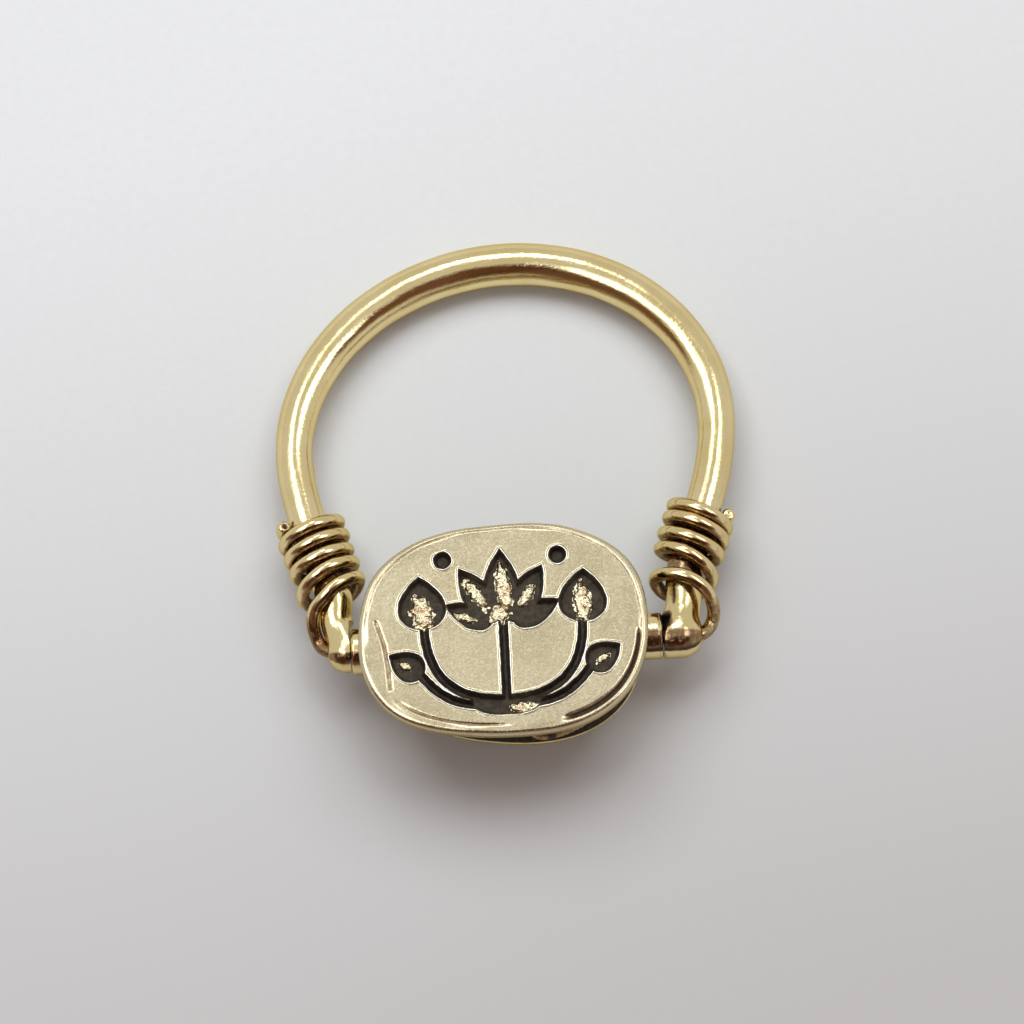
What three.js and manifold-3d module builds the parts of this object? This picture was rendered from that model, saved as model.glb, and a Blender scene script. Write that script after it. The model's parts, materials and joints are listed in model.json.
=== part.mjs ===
// A gold swivel ring with a scarab, lying on a table with the engraved base of the scarab facing up.
// Millimetres. +X runs along the pivot wire, +Y from the scarab to the far end of the hoop, +Z up.
// The hoop is one round rod whose two ends are bent in, knuckled and drilled. One wire runs through the
// left end, a collar, the tube inside the scarab, the other collar and the right end. Each end of that
// wire is looped out, carried over the front and wound up the shoulder of the hoop. The scarab turns on
// the wire.
import * as THREE from 'three';
import { mergeVertices } from 'three/addons/utils/BufferGeometryUtils.js';
import Module from 'manifold-3d';

const wasm = await Module();
wasm.setup();

// Hoop: the bow is half an ellipse, pulled a little to one side at the top as a hand-bent ring is, and each
// shoulder draws in from it to the pivot. The rod is thickest at the top of the bow.
const ROD_DIAMETER = 2.03;
const SHOULDER_DIAMETER = 1.76;
const BOW_HALF_WIDTH = 9.93;
const BOW_RISE = 8.69;
const BOW_FOOT_Y = 10.05;
const BOW_OFFSET_X = 0.43;
const BOW_SKEW = 0.55;
const KNUCKLE_RUN_OUT = 2.2;

// Left and right ends of the hoop. The knuckle is the round end that the pivot wire goes through, and the
// pulls are how far the shoulder's curve runs on from the bow and from the knuckle before it turns.
const LEFT_KNUCKLE_DIAMETER = 2.0;
const RIGHT_KNUCKLE_DIAMETER = 2.16;
const LEFT_STUB = 0.42;
const RIGHT_STUB = 0.93;
const LEFT_BOW_PULL = 2.5;
const RIGHT_BOW_PULL = 4.0;
const LEFT_KNUCKLE_PULL = 2.6;
const RIGHT_KNUCKLE_PULL = 4.9;
const LEFT_KNUCKLE_SET = -0.55;
const RIGHT_KNUCKLE_SET = -0.15;

// Pivot wire. The winding is drawn a little more open than the close coil of the real wire.
const WIRE_DIAMETER = 0.6;
const WINDING_GAP = 0.53;
const WINDING_SLACK = 0.16;
const WINDING_PASSES = 4;
const LEFT_LOOP_START = 1.45;
const RIGHT_LOOP_START = 1.15;
const LEFT_LOOP_RISE = 2.1;
const RIGHT_LOOP_RISE = 1.95;
const LOOP_REACH = 0.62;
const LOOP_LIFT = 0.7;
const LOOP_FORWARD = 0.5;

// Scarab: the seal plate, and the beetle under it with its legs tucked in the groove between the two.
const SEAL_LENGTH = 13.3;
const SEAL_WIDTH = 10.2;
const SEAL_THICKNESS = 0.95;
const SEAL_BEVEL = 0.42;
const SEAL_BEVEL_DROP = 0.3;
const SEAL_UNDERCUT = 0.22;
const SEAL_FACE_HEIGHT = 2.65;
const SEAL_DEPTH = 0.38;
const SEAL_OFFSET_Y = 0.1;
const SCARAB_OFFSET_X = -0.12;
const SCARAB_LEAN_DEGREES = 5;
const BODY_INSET = 0.28;
const BODY_RIM_TOP = 0.78;
const BODY_RIM_FOOT = 0.25;
const BODY_RIM_CHAMFER = 0.4;
const BACK_DEPTH = 3.4;
const NECK_INSET = 1.25;
const LEG_DIAMETER = 0.62;
const BACK_GROOVE = 0.3;

// Bearing: the tube through the scarab and the collar at each end of it.
const TUBE_DIAMETER = 1.5;
const COLLAR_DIAMETER = 2.16;
const RIM_EASE = 0.14;

// Clearances. The pivot wire runs free in its holes, and pieces that meet stay this far apart.
const END_PLAY = 0.63;
const PIN_CLEARANCE = 0.06;
const SEAT_GAP = 0.04;
const CUT_OVERRUN = 0.5;

// Counts of faces.
const ROD_SIDES = 18;
const BOW_STEPS = 36;
const SHOULDER_STEPS = 24;
const WIRE_SIDES = 6;
const WIRE_STEPS = 24;
const LOOP_STEPS = 8;
const BORE_SIDES = 16;
const OUTLINE_POINTS = 64;
const DOME_RINGS = 10;
const CURVE_STEPS = 10;
const LEG_SIDES = 8;

// Exponents of the rounded outlines, where 2 is an ellipse and more is squarer.
const SEAL_SQUARENESS = 2.47;
const BODY_SQUARENESS = 2.3;
const DOME_SQUARENESS = 2.35;
const EGG_SHARE = 0.035;

const rodRadius = ROD_DIAMETER / 2;
const shoulderRadius = SHOULDER_DIAMETER / 2;
const wireRadius = WIRE_DIAMETER / 2;
const windingRadius = shoulderRadius + WINDING_SLACK + wireRadius;
const windingPitch = WIRE_DIAMETER + WINDING_GAP;
const pinBore = wireRadius + PIN_CLEARANCE;
const stubFaceX = SEAL_LENGTH / 2 + END_PLAY;
const bodyHalfLength = SEAL_LENGTH / 2 - BODY_INSET;
const bodyHalfWidth = SEAL_WIDTH / 2 - BODY_INSET;
const bodyEndX = bodyHalfLength - BODY_INSET;
const sealUnderside = SEAL_FACE_HEIGHT - SEAL_THICKNESS;

const polishedGold = new THREE.MeshStandardMaterial({ color: 0xd9c17c, roughness: 0.22, metalness: 1 });
const wireGold = new THREE.MeshStandardMaterial({ color: 0xd2b465, roughness: 0.2, metalness: 1 });
const sealGold = new THREE.MeshStandardMaterial({ color: 0xcfbd8a, roughness: 0.3, metalness: 1 });
const wornGold = new THREE.MeshStandardMaterial({ color: 0xb99a55, roughness: 0.38, metalness: 1 });

// A closed skin over a row of rings that run counterclockwise round their way, with both ends shut.
function loft(rings) {
  const count = rings[0].length;
  const last = rings.length - 1;
  const positions = rings.flat().flatMap((point) => [point.x, point.y, point.z]);
  const indices = [];
  for (let i = 0; i < last; i += 1) {
    for (let j = 0; j < count; j += 1) {
      const here = i * count + j;
      const beside = i * count + ((j + 1) % count);
      indices.push(here, beside, beside + count);
      indices.push(here, beside + count, here + count);
    }
  }
  for (const end of [0, last]) {
    const centre = rings[end].reduce((sum, point) => sum.add(point), new THREE.Vector3());
    centre.divideScalar(count);
    const hub = positions.length / 3;
    positions.push(centre.x, centre.y, centre.z);
    for (let j = 0; j < count; j += 1) {
      const here = end * count + j;
      const beside = end * count + ((j + 1) % count);
      indices.push(hub, end ? here : beside, end ? beside : here);
    }
  }
  const geometry = new THREE.BufferGeometry();
  geometry.setAttribute('position', new THREE.Float32BufferAttribute(positions, 3));
  geometry.setIndex(indices);
  return geometry;
}

// A round bar along a list of centres. The section turns as little as it can from one centre to the next.
function bar(centres, radiusAt, sides) {
  const along = centres.map((point, i) => {
    const before = centres[Math.max(i - 1, 0)];
    const after = centres[Math.min(i + 1, centres.length - 1)];
    return after.clone().sub(before).normalize();
  });
  const upright = Math.abs(along[0].z) < 0.9 ? new THREE.Vector3(0, 0, 1) : new THREE.Vector3(1, 0, 0);
  const side = upright.sub(along[0].clone().multiplyScalar(upright.dot(along[0]))).normalize();
  const rings = centres.map((point, i) => {
    side.sub(along[i].clone().multiplyScalar(side.dot(along[i]))).normalize();
    const across = along[i].clone().cross(side);
    return Array.from({ length: sides }, (_, j) => {
      const turn = (2 * Math.PI * j) / sides;
      const radius = radiusAt(i);
      const offset = side.clone().multiplyScalar(radius * Math.cos(turn));
      offset.addScaledVector(across, radius * Math.sin(turn));
      return offset.add(point);
    });
  });
  return loft(rings);
}

function solid(geometry) {
  geometry.deleteAttribute('normal');
  geometry.deleteAttribute('uv');
  const merged = mergeVertices(geometry);
  const vertProperties = new Float32Array(merged.attributes.position.array);
  const triVerts = new Uint32Array(merged.index.array);
  return new wasm.Manifold(new wasm.Mesh({ numProp: 3, vertProperties, triVerts }));
}

function skin(manifold) {
  const mesh = manifold.getMesh();
  const geometry = new THREE.BufferGeometry();
  geometry.setAttribute('position', new THREE.Float32BufferAttribute(mesh.vertProperties, 3));
  geometry.setIndex(Array.from(mesh.triVerts));
  geometry.computeVertexNormals();
  return geometry;
}

// A cylinder along X from one place to another, on the pivot axis.
function pivotCylinder(radius, fromX, toX, sides) {
  const cylinder = new THREE.CylinderGeometry(radius, radius, toX - fromX, sides);
  cylinder.rotateZ(-Math.PI / 2);
  cylinder.translate((fromX + toX) / 2, 0, 0);
  return cylinder;
}

function smoothStep(value) {
  const t = Math.min(Math.max(value, 0), 1);
  return t * t * (3 - 2 * t);
}

// The middle line of the bow: turn is 0 at its right foot, a quarter turn at the top and half a turn at the
// left foot.
function bowPoint(turn) {
  const x = BOW_OFFSET_X + BOW_HALF_WIDTH * Math.cos(turn) + BOW_SKEW * Math.sin(turn);
  return new THREE.Vector3(x, BOW_FOOT_Y + BOW_RISE * Math.sin(turn), 0);
}

// The shoulder of the hoop on one side, from the pivot up to the foot of the bow, which it meets in line.
function shoulderCurve(side) {
  const foot = bowPoint(side.sign > 0 ? 0 : Math.PI);
  const knuckleX = side.sign * (stubFaceX + side.stub);
  const pulledX = knuckleX + side.sign * side.set;
  const pulledFoot = new THREE.Vector3(BOW_SKEW, BOW_RISE, 0).multiplyScalar(-side.bowPull / BOW_RISE);
  return new THREE.CubicBezierCurve3(
    new THREE.Vector3(knuckleX, 0, 0),
    new THREE.Vector3(pulledX, side.knucklePull, 0),
    pulledFoot.add(foot),
    foot,
  );
}

const leftSide = {
  sign: -1,
  knuckleRadius: LEFT_KNUCKLE_DIAMETER / 2,
  stub: LEFT_STUB,
  bowPull: LEFT_BOW_PULL,
  knucklePull: LEFT_KNUCKLE_PULL,
  set: LEFT_KNUCKLE_SET,
  loopStart: LEFT_LOOP_START,
  loopRise: LEFT_LOOP_RISE,
};
const rightSide = {
  sign: 1,
  knuckleRadius: RIGHT_KNUCKLE_DIAMETER / 2,
  stub: RIGHT_STUB,
  bowPull: RIGHT_BOW_PULL,
  knucklePull: RIGHT_KNUCKLE_PULL,
  set: RIGHT_KNUCKLE_SET,
  loopStart: RIGHT_LOOP_START,
  loopRise: RIGHT_LOOP_RISE,
};

// The rod's radius on a shoulder: the knuckle's at the end, running out to the shoulder's.
function shoulderRadiusAt(side, distance) {
  const share = smoothStep(distance / KNUCKLE_RUN_OUT);
  return side.knuckleRadius + (shoulderRadius - side.knuckleRadius) * share;
}

// The hoop's middle line from the left end to the right, each centre with the rod's radius there.
function hoopStations() {
  const shoulder = (side) => {
    const centres = shoulderCurve(side).getSpacedPoints(SHOULDER_STEPS);
    return centres.map((centre) => {
      return { centre, radius: shoulderRadiusAt(side, centre.distanceTo(centres[0])) };
    });
  };
  const bow = Array.from({ length: BOW_STEPS - 1 }, (_, i) => {
    const turn = Math.PI * (1 - (i + 1) / BOW_STEPS);
    const radius = shoulderRadius + (rodRadius - shoulderRadius) * Math.sin(turn);
    return { centre: bowPoint(turn), radius };
  });
  return [...shoulder(leftSide), ...bow, ...shoulder(rightSide).reverse()];
}

function makeHoop() {
  const stations = hoopStations();
  const centres = stations.map((station) => station.centre);
  let hoop = solid(bar(centres, (i) => stations[i].radius, ROD_SIDES));
  for (const side of [leftSide, rightSide]) {
    const face = side.sign * stubFaceX;
    const knuckleX = side.sign * (stubFaceX + side.stub);
    const knuckle = new THREE.SphereGeometry(side.knuckleRadius, ROD_SIDES, ROD_SIDES / 2);
    knuckle.rotateZ(Math.PI / 2);
    knuckle.translate(knuckleX, 0, 0);
    const ends = [Math.min(face, knuckleX), Math.max(face, knuckleX)];
    const stub = pivotCylinder(side.knuckleRadius, ends[0], ends[1], ROD_SIDES);
    hoop = hoop.add(solid(knuckle)).add(solid(stub));
    // The face that the collar runs against is cut square, so nothing of the round end stands past it.
    const room = 2 * side.knuckleRadius + CUT_OVERRUN;
    const facing = new THREE.BoxGeometry(room, room, room);
    facing.translate(face - side.sign * (room / 2), 0, 0);
    hoop = hoop.subtract(solid(facing));
  }
  const reach = stubFaceX + RIGHT_STUB + RIGHT_KNUCKLE_DIAMETER + CUT_OVERRUN;
  return skin(hoop.subtract(solid(pivotCylinder(pinBore, -reach, reach, BORE_SIDES))));
}

// One end of the pivot wire, from where it leaves the knuckle: a loop outside, then the winding up the
// shoulder. turn is 0 on the outer side, a quarter turn on the front and half a turn on the inner side.
function windingCentres(side) {
  const curve = shoulderCurve(side);
  const length = curve.getLength();
  const onWinding = (turn) => {
    const rise = side.loopRise * Math.sin(Math.min(turn, Math.PI) / 2);
    const climb = (windingPitch * Math.max(turn - Math.PI, 0)) / (2 * Math.PI);
    const share = (side.loopStart + rise + climb) / length;
    const along = curve.getTangentAt(share);
    const outward = new THREE.Vector3(along.y, -along.x, 0).multiplyScalar(side.sign);
    const centre = curve.getPointAt(share);
    centre.addScaledVector(outward, windingRadius * Math.cos(turn));
    centre.z += windingRadius * Math.sin(turn);
    return centre;
  };
  const steps = WINDING_PASSES * WIRE_STEPS;
  const winding = Array.from({ length: steps + 1 }, (_, i) => onWinding((2 * Math.PI * i) / WIRE_STEPS));
  const exitX = side.sign * (stubFaceX + side.stub + side.knuckleRadius);
  const start = winding[0];
  const loop = new THREE.CubicBezierCurve3(
    new THREE.Vector3(exitX, 0, 0),
    new THREE.Vector3(exitX + side.sign * LOOP_REACH, 0, 0),
    new THREE.Vector3(start.x, start.y - LOOP_LIFT, start.z - LOOP_FORWARD),
    start,
  );
  return [...loop.getSpacedPoints(LOOP_STEPS), ...winding.slice(1)];
}

// The least gap between stretches of the wire that lie more than half a turn apart along it.
function leastGap(centres) {
  const travelled = [0];
  for (let i = 1; i < centres.length; i += 1) {
    travelled.push(travelled[i - 1] + centres[i].distanceTo(centres[i - 1]));
  }
  let least = Infinity;
  for (let i = 0; i < centres.length; i += 1) {
    for (let j = i + 1; j < centres.length; j += 1) {
      if (travelled[j] - travelled[i] > Math.PI * windingRadius) {
        least = Math.min(least, centres[i].distanceTo(centres[j]) - WIRE_DIAMETER);
      }
    }
  }
  return least;
}

function makeWire() {
  const left = windingCentres(leftSide).reverse();
  const right = windingCentres(rightSide);
  const centres = [...left, ...right];
  const gap = leastGap(centres).toFixed(3);
  console.log(`pivot wire: ${WINDING_PASSES} turns a side, least gap to itself ${gap} mm`);
  return bar(centres, () => wireRadius, WIRE_SIDES);
}

// A rounded outline in a level plane, a little wider towards +X, drawn in by an inset all round.
function outline(halfLength, halfWidth, squareness, inset, z) {
  return Array.from({ length: OUTLINE_POINTS }, (_, i) => {
    const turn = (2 * Math.PI * i) / OUTLINE_POINTS;
    const lengthShare = Math.sign(Math.cos(turn)) * Math.abs(Math.cos(turn)) ** (2 / squareness);
    const widthShare = Math.sign(Math.sin(turn)) * Math.abs(Math.sin(turn)) ** (2 / squareness);
    const x = (halfLength - inset) * lengthShare;
    const y = (halfWidth - inset) * widthShare * (1 + EGG_SHARE * lengthShare);
    return new THREE.Vector3(x, y, z);
  });
}

// The engraved design, a clump of lotus: places are shares of the seal's half length and half width.
const PETAL_SHARES = [
  { at: [0, 0.06], lean: 0, long: 0.68, wide: 0.15 },
  { at: [0.05, 0.06], lean: -0.55, long: 0.6, wide: 0.13 },
  { at: [-0.05, 0.06], lean: 0.55, long: 0.6, wide: 0.13 },
  { at: [0.08, 0.04], lean: -1.12, long: 0.46, wide: 0.1 },
  { at: [-0.08, 0.04], lean: 1.12, long: 0.46, wide: 0.1 },
  { at: [0.55, 0.02], lean: -0.06, long: 0.5, wide: 0.19 },
  { at: [-0.55, 0.02], lean: 0.06, long: 0.5, wide: 0.19 },
  { at: [0.57, -0.4], lean: -1, long: 0.36, wide: 0.12 },
  { at: [-0.57, -0.4], lean: 1, long: 0.36, wide: 0.12 },
];
const STEM_SHARES = [
  { from: [0, -0.64], bend: [0, -0.3], to: [0, 0.12] },
  { from: [0.06, -0.66], bend: [0.56, -0.62], to: [0.55, 0.08] },
  { from: [-0.06, -0.66], bend: [-0.56, -0.62], to: [-0.55, 0.08] },
  { from: [0.16, -0.7], bend: [0.42, -0.72], to: [0.6, -0.38] },
  { from: [-0.16, -0.7], bend: [-0.42, -0.72], to: [-0.6, -0.38] },
];
const DISC_SHARES = [
  { at: [0.4, 0.66], wide: 0.08 },
  { at: [-0.4, 0.66], wide: 0.08 },
];
const STEM_WIDTH = 0.42;
const POOL_SHARE = 0.26;
const POOL_DROP_SHARE = 0.19;
const PETAL_BELLY_SHARE = 0.45;

function sealPoint([along, across]) {
  return new THREE.Vector2((along * SEAL_LENGTH) / 2, (across * SEAL_WIDTH) / 2);
}

function petalShape({ at, lean, long, wide }) {
  const foot = sealPoint(at);
  const length = (long * SEAL_WIDTH) / 2;
  const half = (wide * SEAL_WIDTH) / 2;
  const place = (across, up) => {
    const turned = new THREE.Vector2(across, up).rotateAround(new THREE.Vector2(), lean);
    return turned.add(foot).toArray();
  };
  const belly = length * PETAL_BELLY_SHARE;
  const shape = new THREE.Shape();
  shape.moveTo(...place(0, 0));
  shape.bezierCurveTo(...place(half, 0), ...place(half * 2, belly), ...place(0, length));
  shape.bezierCurveTo(...place(-half * 2, belly), ...place(-half, 0), ...place(0, 0));
  return shape;
}

function stemShape({ from, bend, to }) {
  const line = new THREE.QuadraticBezierCurve(sealPoint(from), sealPoint(bend), sealPoint(to));
  const edge = (side) =>
    Array.from({ length: CURVE_STEPS + 1 }, (_, i) => {
      const along = line.getTangent(i / CURVE_STEPS);
      const across = new THREE.Vector2(-along.y, along.x).multiplyScalar((side * STEM_WIDTH) / 2);
      return line.getPoint(i / CURVE_STEPS).add(across);
    });
  return new THREE.Shape([...edge(-1), ...edge(1).reverse()]);
}

function discShape({ at, wide }) {
  const centre = sealPoint(at);
  return new THREE.Shape().absarc(centre.x, centre.y, (wide * SEAL_WIDTH) / 2, 0, 2 * Math.PI);
}

function poolShape() {
  const [left, top] = sealPoint([-POOL_SHARE, -1 + POOL_DROP_SHARE * 2]).toArray();
  const [right, foot] = sealPoint([POOL_SHARE, -1 + POOL_DROP_SHARE]).toArray();
  const shape = new THREE.Shape();
  shape.moveTo(left, top);
  shape.quadraticCurveTo(left, foot, 0, foot);
  shape.quadraticCurveTo(right, foot, right, top);
  return shape;
}

function makeSeal() {
  const halfLength = SEAL_LENGTH / 2;
  const halfWidth = SEAL_WIDTH / 2;
  const bevelFoot = SEAL_FACE_HEIGHT - SEAL_BEVEL_DROP;
  const levels = [
    [SEAL_UNDERCUT, sealUnderside],
    [0, sealUnderside + SEAL_UNDERCUT],
    [0, bevelFoot],
    [SEAL_BEVEL, SEAL_FACE_HEIGHT],
  ];
  const rings = levels.map(([inset, z]) => outline(halfLength, halfWidth, SEAL_SQUARENESS, inset, z));
  const shapes = [
    ...PETAL_SHARES.map(petalShape),
    ...STEM_SHARES.map(stemShape),
    ...DISC_SHARES.map(discShape),
    poolShape(),
  ];
  let plate = solid(loft(rings));
  const depth = SEAL_DEPTH + CUT_OVERRUN;
  const settings = { depth, bevelEnabled: false, curveSegments: CURVE_STEPS };
  for (const shape of shapes) {
    const pocket = new THREE.ExtrudeGeometry(shape, settings);
    pocket.translate(0, 0, SEAL_FACE_HEIGHT - SEAL_DEPTH);
    plate = plate.subtract(solid(pocket));
  }
  return skin(plate);
}

// How far below the pivot the beetle's back lies, over a place given from the middle of the body.
function backDrop(x, y) {
  const lengthShare = Math.abs(x) / bodyHalfLength;
  const widthShare = Math.abs(y) / (bodyHalfWidth * (1 + (EGG_SHARE * x) / bodyHalfLength));
  const out = (lengthShare ** BODY_SQUARENESS + widthShare ** BODY_SQUARENESS) ** (1 / BODY_SQUARENESS);
  const depth = BACK_DEPTH + BODY_RIM_FOOT;
  return depth * (1 - Math.min(out, 1) ** DOME_SQUARENESS) ** (1 / DOME_SQUARENESS) - BODY_RIM_FOOT;
}

// Grooves on the back, as shares of the body's half length and half width: the collar behind the head, the
// line behind the thorax, the seam between the wing cases and a short nick at each shoulder of them.
const HEAD_LINE_SHARE = -0.68;
const THORAX_LINE_SHARE = -0.22;
const HEAD_BOW_SHARE = 0.16;
const THORAX_BOW_SHARE = 0.1;
const SEAM_END_SHARE = 0.88;
const HEAD_SPREAD_SHARE = 0.52;
const THORAX_SPREAD_SHARE = 0.93;
const NICK_SPREAD_SHARE = 0.55;
const NICK_LENGTH_SHARE = 0.16;

function backGroove(placeAt) {
  const centres = Array.from({ length: 2 * CURVE_STEPS + 1 }, (_, i) => {
    const [along, across] = placeAt(i / (2 * CURVE_STEPS));
    const x = along * bodyHalfLength;
    const y = across * bodyHalfWidth;
    return new THREE.Vector3(x, y, -backDrop(x, y));
  });
  return solid(bar(centres, () => BACK_GROOVE / 2, WIRE_SIDES));
}

function backGrooves() {
  const crossLine = (line, bow, spread) => (t) => {
    const across = (2 * t - 1) * spread;
    return [line - bow * (across / spread) ** 2, across];
  };
  const nick = (sign) => (t) => [
    THORAX_LINE_SHARE + NICK_LENGTH_SHARE * t,
    sign * (NICK_SPREAD_SHARE - NICK_LENGTH_SHARE * t),
  ];
  return [
    backGroove(crossLine(HEAD_LINE_SHARE, -HEAD_BOW_SHARE, HEAD_SPREAD_SHARE)),
    backGroove(crossLine(THORAX_LINE_SHARE, THORAX_BOW_SHARE, THORAX_SPREAD_SHARE)),
    backGroove((t) => [THORAX_LINE_SHARE + (SEAM_END_SHARE - THORAX_LINE_SHARE) * t, 0]),
    backGroove(nick(1)),
    backGroove(nick(-1)),
  ];
}

// Legs: each runs from a foot near the neck to a knee at the rim and on to a shin along the side, as shares
// of the body's half length and half width.
const LEG_SHARES = [
  [[-0.42, 0.6], [-0.66, 0.66], [-0.9, 0.3]],
  [[-0.12, 0.66], [-0.3, 0.9], [-0.56, 0.82]],
  [[0.24, 0.68], [0.3, 0.93], [0.62, 0.76]],
];

function makeBeetle() {
  const depth = BACK_DEPTH + BODY_RIM_FOOT;
  const dome = Array.from({ length: DOME_RINGS }, (_, i) => {
    const turn = (Math.PI / 2) * (1 - (i + 0.5) / DOME_RINGS);
    const share = Math.cos(turn) ** (2 / DOME_SQUARENESS);
    const z = BODY_RIM_FOOT - depth * Math.sin(turn) ** (2 / DOME_SQUARENESS);
    return outline(bodyHalfLength * share, bodyHalfWidth * share, BODY_SQUARENESS, 0, z);
  });
  const collarLevels = [
    [0, BODY_RIM_FOOT],
    [0, (BODY_RIM_FOOT + BODY_RIM_TOP) / 2],
    [BODY_RIM_CHAMFER, BODY_RIM_TOP],
    [NECK_INSET, BODY_RIM_TOP],
    [NECK_INSET, sealUnderside - SEAT_GAP],
  ];
  const sides = collarLevels.map(([inset, z]) => {
    return outline(bodyHalfLength, bodyHalfWidth, BODY_SQUARENESS, inset, z);
  });
  let beetle = solid(loft([...dome, ...sides]));
  const legHeight = sealUnderside - SEAT_GAP - LEG_DIAMETER / 2;
  const legSize = new THREE.Vector3(bodyHalfLength, bodyHalfWidth, legHeight);
  for (const leg of LEG_SHARES) {
    for (const sign of [1, -1]) {
      const joints = leg.map(([x, y]) => new THREE.Vector3(x, sign * y, 1).multiply(legSize));
      const curve = new THREE.CatmullRomCurve3(joints);
      beetle = beetle.add(solid(bar(curve.getPoints(CURVE_STEPS), () => LEG_DIAMETER / 2, LEG_SIDES)));
    }
  }
  for (const groove of backGrooves()) {
    beetle = beetle.subtract(groove);
  }
  // Both ends are cut flat where the collars run, and the tube's hole goes right through.
  for (const sign of [1, -1]) {
    const room = SEAL_LENGTH;
    const facing = new THREE.BoxGeometry(room, room, room);
    facing.translate(sign * (bodyEndX + room / 2), 0, 0);
    beetle = beetle.subtract(solid(facing));
  }
  const reach = bodyHalfLength + CUT_OVERRUN;
  const hole = pivotCylinder(TUBE_DIAMETER / 2 + SEAT_GAP, -reach, reach, ROD_SIDES);
  return skin(beetle.subtract(solid(hole)));
}

// A round piece on the pivot wire, with the wire's running hole through it and its rims eased.
function runningRing(diameter, fromX, toX) {
  const radius = diameter / 2;
  const profile = [
    new THREE.Vector2(pinBore, 0),
    new THREE.Vector2(radius - RIM_EASE, 0),
    new THREE.Vector2(radius, RIM_EASE),
    new THREE.Vector2(radius, toX - fromX - RIM_EASE),
    new THREE.Vector2(radius - RIM_EASE, toX - fromX),
    new THREE.Vector2(pinBore, toX - fromX),
    new THREE.Vector2(pinBore, 0),
  ];
  const ring = new THREE.LatheGeometry(profile, ROD_SIDES);
  ring.rotateZ(-Math.PI / 2);
  ring.translate(fromX, 0, 0);
  return skin(solid(ring));
}

function named(name, geometry, material) {
  const mesh = new THREE.Mesh(geometry, material);
  mesh.name = name;
  return mesh;
}

const tubeEndX = bodyEndX - SEAT_GAP;
const sealPlate = named('seal_plate', makeSeal(), sealGold);
sealPlate.position.y = SEAL_OFFSET_Y;
const scarab = new THREE.Group();
scarab.add(sealPlate);
scarab.add(named('beetle_back', makeBeetle(), wornGold));
scarab.add(named('bearing_tube', runningRing(TUBE_DIAMETER, -tubeEndX, tubeEndX), wornGold));
scarab.position.x = SCARAB_OFFSET_X;
scarab.rotation.x = -THREE.MathUtils.degToRad(SCARAB_LEAN_DEGREES);
scarab.updateMatrixWorld(true);

const leftBodyEnd = SCARAB_OFFSET_X - bodyEndX;
const rightBodyEnd = SCARAB_OFFSET_X + bodyEndX;
const collarReach = stubFaceX - SEAT_GAP;
const leftCollar = runningRing(COLLAR_DIAMETER, -collarReach, leftBodyEnd - SEAT_GAP);
const rightCollar = runningRing(COLLAR_DIAMETER, rightBodyEnd + SEAT_GAP, collarReach);
const ring = new THREE.Group();
ring.add(named('hoop', makeHoop(), polishedGold));
ring.add(named('pivot_wire', makeWire(), wireGold));
ring.add(named('left_collar', leftCollar, polishedGold));
ring.add(named('right_collar', rightCollar, polishedGold));

// The scarab lies on its back, so the pivot stands above the table by the back's depth, and the hoop leans
// down until its far end touches the table too.
const pivotHeight = -new THREE.Box3().setFromObject(scarab, true).min.z;
ring.rotation.x = -Math.asin((pivotHeight - rodRadius) / (BOW_FOOT_Y + BOW_RISE));

const swivelRing = new THREE.Group();
swivelRing.add(ring);
swivelRing.add(scarab);
swivelRing.updateMatrixWorld(true);
const box = new THREE.Box3().setFromObject(swivelRing, true);
swivelRing.position.set(-(box.min.x + box.max.x) / 2, -(box.min.y + box.max.y) / 2, -box.min.z);

export default swivelRing;
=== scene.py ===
"""A gold scarab swivel ring lying on a pale table with its engraved base up.

The hoop, the wound pivot wire, the collars, the seal plate and the beetle are surfaces worked out on
grids with numpy. Shapes are in millimetres, in two frames of their own. The hoop's frame has X along the
pivot, Y up the hoop and Z out of its front; the scarab's has X along the pivot and Z out of the seal.
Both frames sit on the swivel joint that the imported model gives.
"""
import json
import math

import bmesh
import bpy
import numpy as np
from mathutils import Matrix, Vector


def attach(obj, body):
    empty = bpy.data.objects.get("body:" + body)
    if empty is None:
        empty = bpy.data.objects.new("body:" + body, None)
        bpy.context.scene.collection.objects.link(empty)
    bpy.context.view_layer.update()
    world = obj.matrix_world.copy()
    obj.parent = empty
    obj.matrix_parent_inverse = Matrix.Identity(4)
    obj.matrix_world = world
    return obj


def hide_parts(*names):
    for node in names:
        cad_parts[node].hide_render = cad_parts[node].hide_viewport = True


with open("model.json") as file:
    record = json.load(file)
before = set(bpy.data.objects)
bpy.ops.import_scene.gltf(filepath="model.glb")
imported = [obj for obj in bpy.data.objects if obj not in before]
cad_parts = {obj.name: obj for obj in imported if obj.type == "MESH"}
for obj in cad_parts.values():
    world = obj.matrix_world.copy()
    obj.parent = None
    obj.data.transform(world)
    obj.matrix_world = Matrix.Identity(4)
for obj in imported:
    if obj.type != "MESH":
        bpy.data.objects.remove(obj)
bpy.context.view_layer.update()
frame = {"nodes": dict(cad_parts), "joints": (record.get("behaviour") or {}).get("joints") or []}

MM = 0.001
TINY = 1e-12
FULL_TURN = 2.0 * math.pi

# Hoop: half an ellipse for the bow, with a curve on each side drawn in from its foot to the pivot.
ROD_RADIUS = 1.015
SHOULDER_RADIUS = 0.86
BOW_HALF_WIDTH = 9.93
BOW_RISE = 8.69
BOW_FOOT_Y = 10.05
BOW_OFFSET_X = 0.43
BOW_SKEW = 0.55
BOW_STEPS = 900
SHOULDER_STEPS = 400
KNUCKLE_SET = 0.06
KNUCKLE_RUN_OUT = 1.3
BARREL_POWER = 5.0
BARREL_TOP = 0.9
HOOP_SIDES = 112
HOOP_RINGS = 660
CAP_RINGS = 26

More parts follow.
